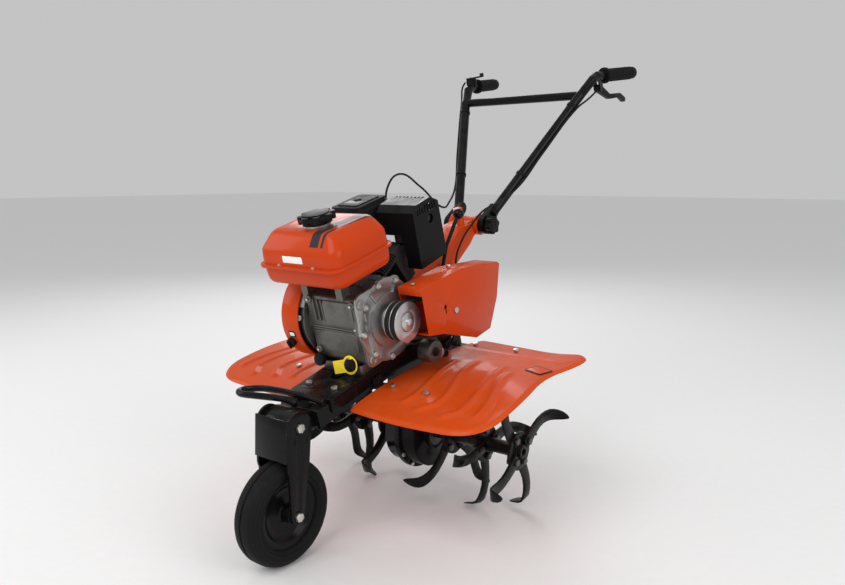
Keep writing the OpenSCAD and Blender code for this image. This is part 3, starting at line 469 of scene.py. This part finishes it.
fenderLook = {"height": 5.0, "width": 8.0, "lip": 7.0, "flick": 15.0, "thick": 2.2}
fenderCorners = [(67, -276), (67, -291), (90, -294), (215, -300), (398, -284), (400, -120), (376, 10),
    (404, 150), (390, 190), (330, 204), (90, 233), (67, 234), (67, 210)]
pressedRibs = [  # each is an S: its middle, its front and rear ends, how far it sways, and its hook at the front
    {"middle": 161, "front": -222, "rear": 5, "sway": 18, "hook": 7},
    {"middle": 220, "front": -236, "rear": 23, "sway": 29, "hook": 27},
    {"middle": 291, "front": -246, "rear": 20, "sway": 21, "hook": 26},
    {"middle": 326, "front": -222, "rear": -11, "sway": 25, "hook": 0}]
ribSteps, hookFade = 10, 16
archRadius, archLow = 1400.0, (-255.8, -1164.6)


def sheetTop(y):
    return archLow[1] + sqrt(archRadius ** 2 - (y - archLow[0]) ** 2)


def rounded(points, passes=4):  # cuts the corners of a closed line
    for _ in range(passes):
        pairs = zip(points, points[1:] + points[:1])
        points = [a.lerp(b, t) for a, b in pairs for t in (0.25, 0.75)]
    return points


def ribLine(rib):
    line = []
    for k in range(ribSteps + 1):
        t = k / ribSteps
        x = rib["middle"] + rib["sway"] * cos(pi * t) - rib["hook"] * (1 - t) ** hookFade
        line.append(Vector((x, rib["front"] + t * (rib["rear"] - rib["front"]))))
    return line


def fenderEdge(count):
    rim = rounded([Vector(p) for p in fenderCorners])
    steps = [(b - a).length for a, b in zip(rim, rim[1:] + rim[:1])]
    whole, out, walked, k = sum(steps), [], 0.0, 0
    for i in range(count):
        want = whole * i / count
        while walked + steps[k] < want:
            walked += steps[k]
            k += 1
        t = (want - walked) / max(steps[k], 1e-9)
        out.append(rim[k].lerp(rim[(k + 1) % len(rim)], t))
    return out


def ribGap(p, line):  # how far a point is from a rib, and how far along it
    best = (1e9, 0)
    for k, (a, b) in enumerate(zip(line, line[1:])):
        near, t = intersect_point_line(p, a, b)
        near = a.lerp(b, max(0.0, min(1.0, t)))
        best = min(best, ((p - near).length, (k + max(0.0, min(1.0, t))) / (len(line) - 1)))
    return best


def fender(side):
    around, rings = 320, 64
    bpy.ops.mesh.primitive_grid_add(x_subdivisions=around, y_subdivisions=rings, size=1)
    obj = bpy.context.object
    rim = fenderEdge(around)
    centre = Vector((225, -40))
    ribs = [ribLine(rib) for rib in pressedRibs]
    for v in obj.data.vertices:
        i = int(round((v.co.x + 0.5) * around)) % around
        j = (v.co.y + 0.5)
        s = 1 - (1 - j) ** 1.5
        p = centre.lerp(rim[i], s)
        gap = (1 - s) * (rim[i] - centre).length * 0.8
        z = sheetTop(p.y)
        for line in ribs:
            if abs(p.x - line[0].x) < 110 and -275 < p.y < 110:
                away, along = ribGap(p, line)
                z += fenderLook["height"] * (1 - 0.45 * along) * exp(-((away / fenderLook["width"]) ** 2))
        crease = max(0.0, min(1.0, (gap - 14) / 20))
        z += 2.2 * crease * exp(-(((p.y - 128) / 9) ** 2))
        z -= fenderLook["lip"] * max(0.0, 1 - gap / 9) ** 2
        corner = (p - Vector((385, 195))).length
        z += fenderLook["flick"] * max(0.0, 1 - corner / 130) ** 2
        v.co = mm(side * p.x, p.y, z)
    bpy.ops.object.mode_set(mode="EDIT")
    bpy.ops.mesh.select_all(action="SELECT")
    bpy.ops.mesh.remove_doubles(threshold=0.00002)
    bpy.ops.mesh.normals_make_consistent(inside=False)
    bpy.ops.object.mode_set(mode="OBJECT")
    up = sum(f.normal.z for f in obj.data.polygons)
    if up < 0:
        bpy.ops.object.mode_set(mode="EDIT")
        bpy.ops.mesh.flip_normals()
        bpy.ops.object.mode_set(mode="OBJECT")
    thick = obj.modifiers.new("thick", "SOLIDIFY")
    thick.thickness = fenderLook["thick"] / 1000
    thick.offset = -1
    bpy.ops.object.modifier_apply(modifier="thick")
    obj.name = "fender_sheet_left" if side > 0 else "fender_sheet_right"
    stands = "fender_left" if side > 0 else "fender_right"
    settle(obj, pressedOrange, "chassis", "orange_paint", stands, angle=50)
    return obj


fender(1)
deselect()
fender(-1)
print("fenders pressed")

# fuel tank: two pressed halves, a rolled seam, a filler neck

deselect()
tankRows = [  # height, width, depth, shift in Y
    (499.5, 206, 154, 0), (500.5, 214, 161, 0), (504, 222, 168, 0), (511, 228, 173, 0), (522, 230, 176, 0),
    (539, 231, 177, 0), (539.5, 240, 192, 0), (541, 241, 193, 0), (544, 241, 193, 0), (545.5, 240, 192, 0),
    (546, 231, 178, 0), (562, 230, 177, 0), (576, 228, 175, 1), (582, 223, 170, 2), (598, 202, 152, 4),
    (607, 188, 141, 5), (611, 178, 132, 5), (613, 164, 120, 5), (613.8, 110, 80, 5)]
tank = grow(206, 154, 22, tankRows, 8)
tank.name = "tank_shell"
tank.matrix_world = Matrix.Translation(mm(-10, -183, 0))
settle(tank, tankPaint, "chassis", "orange_paint", angle=38)
neck = turned([(24, 608), (26, 612), (27, 616), (27, 618.5), (25, 620), (22, 620), (21.2, 618)], 48)
neck.name = "tank_neck"
neck.matrix_world = Matrix.Translation(mm(8, -203, 0))
settle(neck, zinc, "chassis", "orange_paint")
legs = polish("fuel_tank", castAlloy, 0)
pick(legs)
bpy.ops.object.mode_set(mode="EDIT")
bm = bmesh.from_edit_mesh(legs.data)
for f in bm.faces:
    f.select_set((level @ f.calc_center_median()).z > 0.4985)
bmesh.update_edit_mesh(legs.data)
bpy.ops.mesh.select_mode(type="FACE")
bpy.ops.mesh.delete(type="FACE")
bpy.ops.object.mode_set(mode="OBJECT")
legs.name = "tank_legs"
label("tank_label", 58, 15, whiteLabel, aim((-18, -272.2, 561), (0, -1, 0.0)), "chassis", "orange_paint", 2)
polish("fuel_cap", blackPlastic, 1.6, 3)
print("tank made")

# the rest of the CAD pieces, with broken edges and their own finishes

def onTube(p, n):
    return abs(p.x) < 12.6 and (p.y - 283) ** 2 < 12.6 ** 2 and p.z > 452


def crankRadius(p):
    return sqrt((p.y + 143) ** 2 + (p.z - 382) ** 2)


def onTag(p, n):  # the card that hangs on the left oil plug
    along = Vector((0, -sin(radians(75)), cos(radians(75))))
    return p.x > -20 and abs((p - Vector((46, -214, 302))).dot(along) - 21.2) < 1.3


def onBareFace(p, n):  # the rims, the hub and the outer face of the engine pulley
    return crankRadius(p) > 42.5 or crankRadius(p) < 22 or (n.x > 0.8 and p.x > 144)


plan = {
    "frame_rails": (framePaint, 1.6), "engine_bed": (framePaint, 1.0), "front_bracket": (framePaint, 2.0),
    "gearbox_left": (framePaint, 1.2), "gearbox_right": (framePaint, 1.2), "crankcase": (castAlloy, 1.6),
    "side_cover": (coverAlloy, 1.0), "cylinder_block": (blackIron, 0.5), "rocker_cover": (blackIron, 2.4),
    "fan_housing": (orangePaint, 3.0), "starter_cover": (blackPlastic, 1.2), "muffler": (blackIron, 2.0),
    "muffler_shroud": (sheetPaint, 0.0), "air_filter": (softPlastic, 2.4), "carburettor": (castAlloy, 1.0),
    "spark_plug": (softPlastic, 1.0), "belt_cover": (orangePaint, 0.8), "belt_cover_back": (orangePaint, 0.4),
    "cover_screws": (zinc, 0.4), "v_belts": (beltRubber, 0.4), "fender_brackets": (framePaint, 0.8),
    "chassis_bolts": (zinc, 0.4), "hitch_bracket": (framePaint, 1.0), "flywheel": (darkSteel, 0.6),
    "driven_pulley": (darkSteel, 0.5), "output_shaft": (tinePaint, 0.8),
    "tine_bolts": (darkSteel, 0.5), "wheel_fork": (framePaint, 1.2),
    "fork_bolts": (zinc, 0.5), "handlebar": (barPaint, 0.0),
    "hand_grips": (gripRubber, 0.8), "clutch_lever": (softPlastic, 2.2), "throttle_lever": (blackPlastic, 1.2),
    "idler_arm": (framePaint, 0.6), "idler_pulley": (darkSteel, 0.6), "starter_grip": (blackPlastic, 0.6),
    "engine_switch": (blackPlastic, 0.8), "gear_lever": (framePaint, 0.0), "clamp_knob": (blackPlastic, 1.6),
    "drag_stake": (framePaint, 1.2), "lift_hoop": (framePaint, 0.0)}
for node, (surface, soften) in plan.items():
    polish(node, surface, soften)
polish("handle_column", orangePaint, 1.4, 2, [(silverTube, onTube)])
polish("oil_plugs", blackPlastic, 0.5, 2, [(yellowCard, onTag)])
polish("drive_pulley", blackIron, 0.5, 2, [(bareSteel, onBareFace)])
for node in ("gear_bearings", "drive_chain", "crankshaft", "input_shaft", "counter_gear", "output_sprocket"):
    nodes[node].data.materials.clear()
    nodes[node].data.materials.append(bareSteel if node in ("crankshaft", "input_shaft") else darkSteel)
print("CAD pieces finished")

# front wheel: ridges round the shoulders of the solid tyre

wheelLook = {"radius": 113, "at": (-473.3, 75.7)}
r = wheelLook["radius"]
profile = [(74.2, -21), (77, -26), (82, -29.5), (84, -28.6), (86, -30.6), (92, -31), (94, -30), (96, -31),
    (100, -29.5), (102, -28), (103.5, -28), (105.5, -25.6), (107, -24.6), (109, -21), (110.5, -19.6),
    (111.6, -15), (r, -11), (r, -3), (110.6, -2), (110.6, 0)]
profile = profile + [(a, -b) for a, b in reversed(profile[:-1])] + [(74.2, -21)]
deselect()
tyre = turned(profile, 96)
tyre.name = "tyre_ridged"
axisX(tyre, (0,) + wheelLook["at"])
settle(tyre, tyreRubber, "wheel", "tyre", "wheel_tyre", angle=30)
deselect()
rimHalf = [(6.3, 37.5), (17, 37.5), (18, 36.5), (18, 13), (21, 10), (38, 6), (50, 7.5), (58, 12), (62, 17),
    (66, 19.4), (72, 20), (74, 20)]
rim = turned([(a, -b) for a, b in rimHalf] + rimHalf[::-1] + [(6.3, -37.5)], 72)
rim.name = "rim_disc"
axisX(rim, (0,) + wheelLook["at"])
settle(rim, sheetPaint, "wheel", "black_paint", "wheel_rim", angle=30)
print("wheel turned")

# tines: flat bars that curve back, then turn sideways into a tapered blade

tineLook = {"bank": 288, "step": 92, "offset": 7.1, "turns": (-150.5, -97, -74)}
tinePath = [  # place (x, y, z), heading, half width, half thickness
    ((0, 22, 0), (0, 1, 0), 14, 3.4), ((0, 46, 1), (0, 1, 0.02), 15, 3.4), ((0, 72, 2), (0, 1, -0.03), 13.5, 3.4),
    ((0, 94, 0), (0, 1, -0.2), 13, 3.4), ((0, 114, -6), (0, 0.93, -0.36), 13, 3.4),
    ((1, 130, -14), (0.1, 0.88, -0.46), 13.5, 3.2), ((3.5, 143, -22), (0.35, 0.8, -0.48), 14, 3.0),
    ((9, 151, -28), (0.75, 0.55, -0.36), 14, 2.7), ((18, 155, -31), (0.95, 0.26, -0.18), 13, 2.4),
    ((30, 157, -33), (1, 0.12, -0.1), 10.5, 2.0), ((39, 158, -36), (1, 0.08, -0.2), 6.5, 1.6),
    ((44.5, 158.4, -39), (1, 0.06, -0.3), 2.0, 1.2)]


def tine(side):
    sections = []
    for place, heading, half, thin in tinePath:
        d = Vector((heading[0] * side, heading[1], heading[2])).normalized()
        wide = Vector((0, 0.42, 0.9)) if abs(d.x) > 0.6 else Vector((0, -d.z, d.y))
        wide = (wide - d * wide.dot(d)).normalized()
        thick = d.cross(wide)
        at = Vector((place[0] * side, place[1], place[2]))
        corners = ((1, 1), (-1, 1), (-1, -1), (1, -1))
        sections.append([mm(*(at + wide * a * half + thick * b * thin)) for a, b in corners])
    bpy.ops.mesh.primitive_plane_add(size=0.01)
    obj = bpy.context.object
    bpy.ops.object.mode_set(mode="EDIT")
    bm = bmesh.from_edit_mesh(obj.data)
    bm.verts.ensure_lookup_table()
    ring = bm.faces[:][0].verts[:] if len(bm.faces) else bm.verts[:]
    for v, place in zip(ring, sections[0]):
        v.co = place
    bmesh.update_edit_mesh(obj.data)
    for before, after in zip(sections, sections[1:]):
        bpy.ops.mesh.extrude_region_move(TRANSFORM_OT_translate={"value": (0, 0, 0)})
        bm = bmesh.from_edit_mesh(obj.data)
        for v in [v for v in bm.verts if v.select]:
            k = min(range(4), key=lambda i: (v.co - before[i]).length)
            v.co = after[k]
        bmesh.update_edit_mesh(obj.data)
    bpy.ops.mesh.select_all(action="SELECT")
    bpy.ops.mesh.normals_make_consistent(inside=False)
    bpy.ops.object.mode_set(mode="OBJECT")
    b = obj.modifiers.new("bevel", "BEVEL")
    b.width, b.segments, b.limit_method, b.angle_limit = 0.0012, 2, "ANGLE", radians(40)
    bpy.ops.object.modifier_apply(modifier="bevel")
    return obj


deselect()
firstTines = {side: tine(side) for side in (-1, 1)}
for hand, bankName in ((1, "left"), (-1, "right")):
    copies = []
    for k in range(3):
        for q in range(4):
            side = -1 if q % 2 == 0 else 1
            one = bpy.data.objects.new("tine", firstTines[side].data.copy())
            bpy.context.scene.collection.objects.link(one)
            x = tineLook["bank"] - tineLook["step"] * (2 - k) + side * tineLook["offset"]
            turn = Matrix.Rotation(radians(q * 90 + tineLook["turns"][k]), 4, "X")
            one.data.transform(Matrix.Translation(mm(x, 0, 0)) @ turn)
            if hand < 0:
                one.data.transform(Matrix.Scale(-1, 4, (1, 0, 0)))
                one.data.flip_normals()
            copies.append(one)
    bank = joinAll(copies, "tine_bank_" + bankName)
    settle(bank, tinePaint, "rotor", "black_paint", "tines_" + bankName, angle=40)
for one in firstTines.values():
    bpy.data.objects.remove(one)
print("tines forged")

# cables: each is one length, held at the engine, past the tilt hinge and up its arm

cableRoutes = {
    "clutch_cable": [(103, 20, 219), (97, 70, 236), (80, 130, 272), (66, 165, 330), (57, 182, 390), (50, 230, 428),
        (52, 290, 458), (60, 334, 477), (76, 376, 484), (101, 443, 505), (140, 532, 576), (192, 651, 668),
        (206, 700, 684), (208, 744, 694)],
    "throttle_cable": [(-60, 33.5, 492), (-62, 66, 500), (-66, 92, 540), (-72, 126, 600), (-78, 186, 616),
        (-78, 262, 560), (-67, 328, 484), (-80, 380, 485), (-101, 443, 505), (-140, 532, 576), (-192, 651, 668),
        (-216, 704, 702), (-227, 735, 738), (-226, 751, 750)]}
for name, route in cableRoutes.items():
    cable = run(name, route, 2.7, 3)
    settle(cable, cableSkin, None, "rubber", "lower_cables", "upper_cables")
    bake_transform(cable)
rope = run("starter_rope", [(-144, -104, 431.5), (-144, -100.2, 436.5), (-144, -96, 441.5), (-144, -88, 452)], 2.0, 3)
settle(rope, gripRubber, None, "rubber")
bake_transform(rope)
print("cables run")

# strap clips on the bars

barFoot, barTop = Vector((59, 388, 461)), Vector((189, 685, 697))
for side in (1, -1):
    for k, t in enumerate((0.3, 0.9)):
        at = barFoot.lerp(barTop, t)
        along = Vector((side * (barTop - barFoot).x, (barTop - barFoot).y, (barTop - barFoot).z)).normalized()
        strap = turned([(13.2, -4), (14.4, -4), (14.9, -2), (14.9, 2), (14.4, 4), (13.2, 4)], 32)
        strap.name = f"strap_{'left' if side > 0 else 'right'}_{k}"
        tilt = along.to_track_quat("Z", "Y").to_matrix().to_4x4()
        strap.matrix_world = Matrix.Translation(mm(side * at.x, at.y, at.z)) @ tilt
        settle(strap, blackPlastic, "handlebar", "black_plastic")
print("straps on")

# small things on the engine

engineWires = [
    ("spark_lead", [(-62, 14, 458), (-74, 14, 450), (-82, 0, 430), (-84, -30, 408), (-80, -46, 392)], 3.6, gripRubber),
    ("fuel_hose", [(-50, -100, 503), (-52, -90, 490), (-56, -60, 478), (-58, -30, 478), (-60, -3, 486)], 3.4, gripRubber),
    ("governor_rod", [(-8, -100, 474), (-20, -70, 486), (-40, -30, 494), (-48, -6, 500)], 1.2, zinc),
    ("governor_spring", [(-8, -96, 468), (-30, -60, 478), (-44, -10, 488)], 2.2, darkSteel),
    ("switch_wire", [(-90, -226, 356), (-76, -222, 344), (-70, -212, 330), (-70, -190, 316)], 1.8, gripRubber),
    ("switch_wire_two", [(-86, -216, 390), (-76, -214, 380), (-70, -210, 352), (-68, -196, 328)], 1.6, gripRubber)]
for name, route, radius, surface in engineWires:
    settle(run(name, route, radius, 2), surface, "chassis", "rubber" if surface is gripRubber else "bright_steel")


def screw(at, normal, across, tall, name, surface=None, body="chassis", washer=True):
    # hexagon flange screw, its washer under it
    bpy.ops.mesh.primitive_cylinder_add(vertices=6, radius=across / 2000, depth=tall / 1000,
        location=(0, 0, tall / 2000 + (0.8 / 1000 if washer else 0)))
    head = bpy.context.object
    bake()
    b = head.modifiers.new("bevel", "BEVEL")
    b.width, b.segments, b.limit_method = across / 16000, 2, "ANGLE"
    bpy.ops.object.modifier_apply(modifier="bevel")
    if washer:
        bpy.ops.mesh.primitive_cylinder_add(vertices=28, radius=across * 0.72 / 1000, depth=1.2 / 1000,
            location=(0, 0, 0.6 / 1000))
        disc = bpy.context.object
        bake()
        b = disc.modifiers.new("bevel", "BEVEL")
        b.width, b.segments, b.limit_method = 0.0003, 2, "ANGLE"
        bpy.ops.object.modifier_apply(modifier="bevel")
        head = joinAll([head, disc], name)
    head.name = name
    head.matrix_world = aim(at, normal, (0.1, 0.2, 1))
    return settle(head, surface or zinc, body, "bright_steel", angle=25)


def onCrank(radius, angle, x):
    return (x, -143 + radius * cos(radians(angle)), 382 + radius * sin(radians(angle)))


for k, a in enumerate(range(20, 360, 40)):
    screw(onCrank(85, a, 100), (1, 0, 0), 9, 4.5, f"cover_screw_{k}", zinc)
for k, a in enumerate((70, 130, 160, 200, 230, 320, 20)):
    screw(onCrank(101, a, -128.2), (-1, 0, 0), 8, 4, f"fan_screw_{k}", zinc)
for k, a in enumerate((30, 150, 270)):
    screw(onCrank(79, a, -140), (-1, 0, 0), 8, 4, f"recoil_screw_{k}", zinc)
for k, (x, y) in enumerate(((-60, -265), (40, -265), (-60, -98), (40, -98))):
    screw((x - 3, y - 6 if y < -200 else y + 6, 541.5 + 4), (0, 0, 1), 7, 3, f"tank_screw_{k}", zinc)
head = Vector((0, cos(radians(25)), sin(radians(25))))
side = Vector((0, -sin(radians(25)), cos(radians(25))))
for k, (x, s) in enumerate(((-34, 38), (34, 38), (-34, -38), (34, -38))):
    at = Vector((0, -143, 382)) + head * 178.8 + side * s
    screw((x, at.y, at.z), tuple(head), 10, 5, f"head_bolt_{k}", darkSteel)
print("screws driven")

# ribs, plates and bosses of the cast crankcase, on its flat front and on its side
def castPlate(name, w, d, corner, thick, at, normal=(0, -1, 0), finish=None):
    plate = grow(w, d, corner, [(-1.5, w, d, 0), (thick - 1.2, w - 1, d - 1, 0), (thick, w - 3.4, d - 3.4, 0)], 5)
    plate.name = name
    plate.matrix_world = aim(at, normal)
    return settle(plate, finish or castAlloy, "chassis", "cast_alloy", angle=30)


def castBoss(name, at, normal, size=1.0, finish=None):
    boss = turned([(0, -2), (11 * size, -2), (11 * size, 4.5 * size), (9.6 * size, 6 * size), (6 * size, 6 * size),
        (5 * size, 5 * size), (0, 5 * size)], 32)
    boss.name = name
    boss.matrix_world = aim(at, normal)
    return settle(boss, finish or castAlloy, "chassis", "cast_alloy", angle=30)


castFront = -227
castPlate("cast_panel_high", 86, 58, 9, 3.2, (34, castFront, 424))
castPlate("cast_panel_low", 96, 50, 10, 2.6, (24, castFront, 356))
for k, z in enumerate((388.5, 383, 377)):
    castPlate(f"cast_rib_{k}", 128, 2.6, 1.2, 3.4, (14, castFront, z))
for k, x in enumerate((-34, -22, -10)):
    castPlate(f"cast_fin_{k}", 3, 52, 1.4, 4.6, (x, castFront, 428))
for k, (x, z) in enumerate(((78, 448), (-47, 452), (80, 394), (-48, 330))):
    castBoss(f"cast_boss_{k}", (x, castFront, z), (0, -1, 0), 0.8)
    screw((x, castFront - 4.8, z), (0, -1, 0), 7, 3.6, f"cast_bolt_{k}", zinc, washer=False)
for k, (y, z) in enumerate(((-216, 318), (-218, 448), (-96, 318))):
    castBoss(f"cover_boss_{k}", (94, y, z), (1, 0, 0), 1.0, coverAlloy)
for k, (y, z) in enumerate(((-205, 338), (-207, 364), (-208, 390), (-205, 416))):
    castPlate(f"cover_rib_{k}", 3, 20, 1.4, 4, (94, y - 8, z), (1, 0, 0), coverAlloy)

# curved cowl strip between the crankcase and the fan
strip = {"wide": 22, "thick": 13, "x": -75, "radius": 96.5, "from": 152, "turn": 92}
deselect()
bpy.ops.mesh.primitive_plane_add(size=1, location=(0, 0, 0))
cowl = bpy.context.object
bpy.ops.object.mode_set(mode="EDIT")
bpy.ops.transform.resize(value=(strip["wide"] / 1000, strip["thick"] / 1000, 1))
bpy.ops.transform.translate(value=(strip["x"] / 1000, strip["radius"] / 1000, 0))
bpy.ops.mesh.spin(steps=40, angle=radians(strip["turn"]), center=(0, 0, 0), axis=(1, 0, 0))
bpy.ops.mesh.select_all(action="SELECT")
bpy.ops.mesh.remove_doubles(threshold=0.00001)
bpy.ops.mesh.normals_make_consistent(inside=False)
bpy.ops.object.mode_set(mode="OBJECT")
cowl.name = "cowl_strip"
b = cowl.modifiers.new("bevel", "BEVEL")
b.width, b.segments, b.limit_method = 0.0022, 3, "ANGLE"
bpy.ops.object.modifier_apply(modifier="bevel")
cowl.matrix_world = Matrix.Translation(mm(0, -143, 382)) @ Matrix.Rotation(radians(strip["from"]), 4, "X")
settle(cowl, coverAlloy, "chassis", "cast_alloy", angle=30)
castBoss("cowl_boss", (-75, -143 - 99, 382 + 26), (0, -0.96, 0.26), 0.6, coverAlloy)
print("casting details on")

# blank labels, with no lettering
for name, w, d, surface, radius, corner in (("fan_label", 20, 15, blackLabel, 108.2, 1.5),
        ("fan_label_face", 14, 9, whiteLabel, 108.8, 1)):
    out = (0, cos(radians(187)), sin(radians(187)))
    label(name, w, d, surface, aim(onCrank(radius, 187, -103), out), "chassis", "orange_paint", corner)
onTop = {"normal": (0, 0, 1), "up": (0, 1, 0)}
label("filter_panel", 66, 84, softPlastic, aim((-68, 10, 600), **onTop), "chassis", "black_plastic", 8, 2.4)
label("filter_label", 44, 22, greyLabel, aim((-68, -8, 602.3), **onTop), "chassis", "black_plastic", 3)
for side in (1, -1):
    for name, w, d, lift, finish in (("frame", 52, 40, 1.6, blackLabel), ("field", 45, 33, 2.0, pressedOrange)):
        hand = "left" if side > 0 else "right"
        place = aim((side * 348, 36, sheetTop(36) + lift), (0, 0.2, 0.98), (side * 0.35, 1, 0))
        label(f"fender_{name}_{hand}", w, d, finish, place, "chassis", "orange_paint", 2.5)
print("labels on")

# floor, light and air

bpy.ops.mesh.primitive_plane_add(size=60, location=(0, 0, 0))
floor = bpy.context.object
floor.name = "floor"
paper = Finish("paper")
grainy = paper.noise(40, 5)
pale = paper.blend(grainy, rgb(0.86, 0.86, 0.86), rgb(0.9, 0.9, 0.9))
floor.data.materials.append(paper.set(Base_Color=pale, Roughness=0.75 + grainy * 0.1))

world = bpy.data.worlds.new("studio")
bpy.context.scene.world = world
world.use_nodes = True
world.node_tree.nodes["Background"].inputs["Color"].default_value = (1, 1, 1, 1)
world.node_tree.nodes["Background"].inputs["Strength"].default_value = 0.55
lamps = [("key", (0.3, -3.0, 3.2), (0, 0, 0.4), 2.4, 62), ("fill", (3.2, -0.6, 1.8), (0, 0, 0.5), 2.0, 30),
    ("rim", (-2.4, 2.4, 2.6), (0, 0, 0.6), 1.8, 34), ("left", (-2.8, -1.8, 1.6), (0, -0.2, 0.4), 1.4, 14)]
for name, place, target, size, power in lamps:
    lamp = bpy.data.lights.new(name, "AREA")
    lamp.size = size
    lamp.energy = power
    lampObject = bpy.data.objects.new(name, lamp)
    lampObject.location = place
    lampObject.rotation_euler = (Vector(target) - Vector(place)).to_track_quat("-Z", "Y").to_euler()
    bpy.context.scene.collection.objects.link(lampObject)
bpy.context.scene.view_settings.view_transform = "Standard"
print("stage lit")
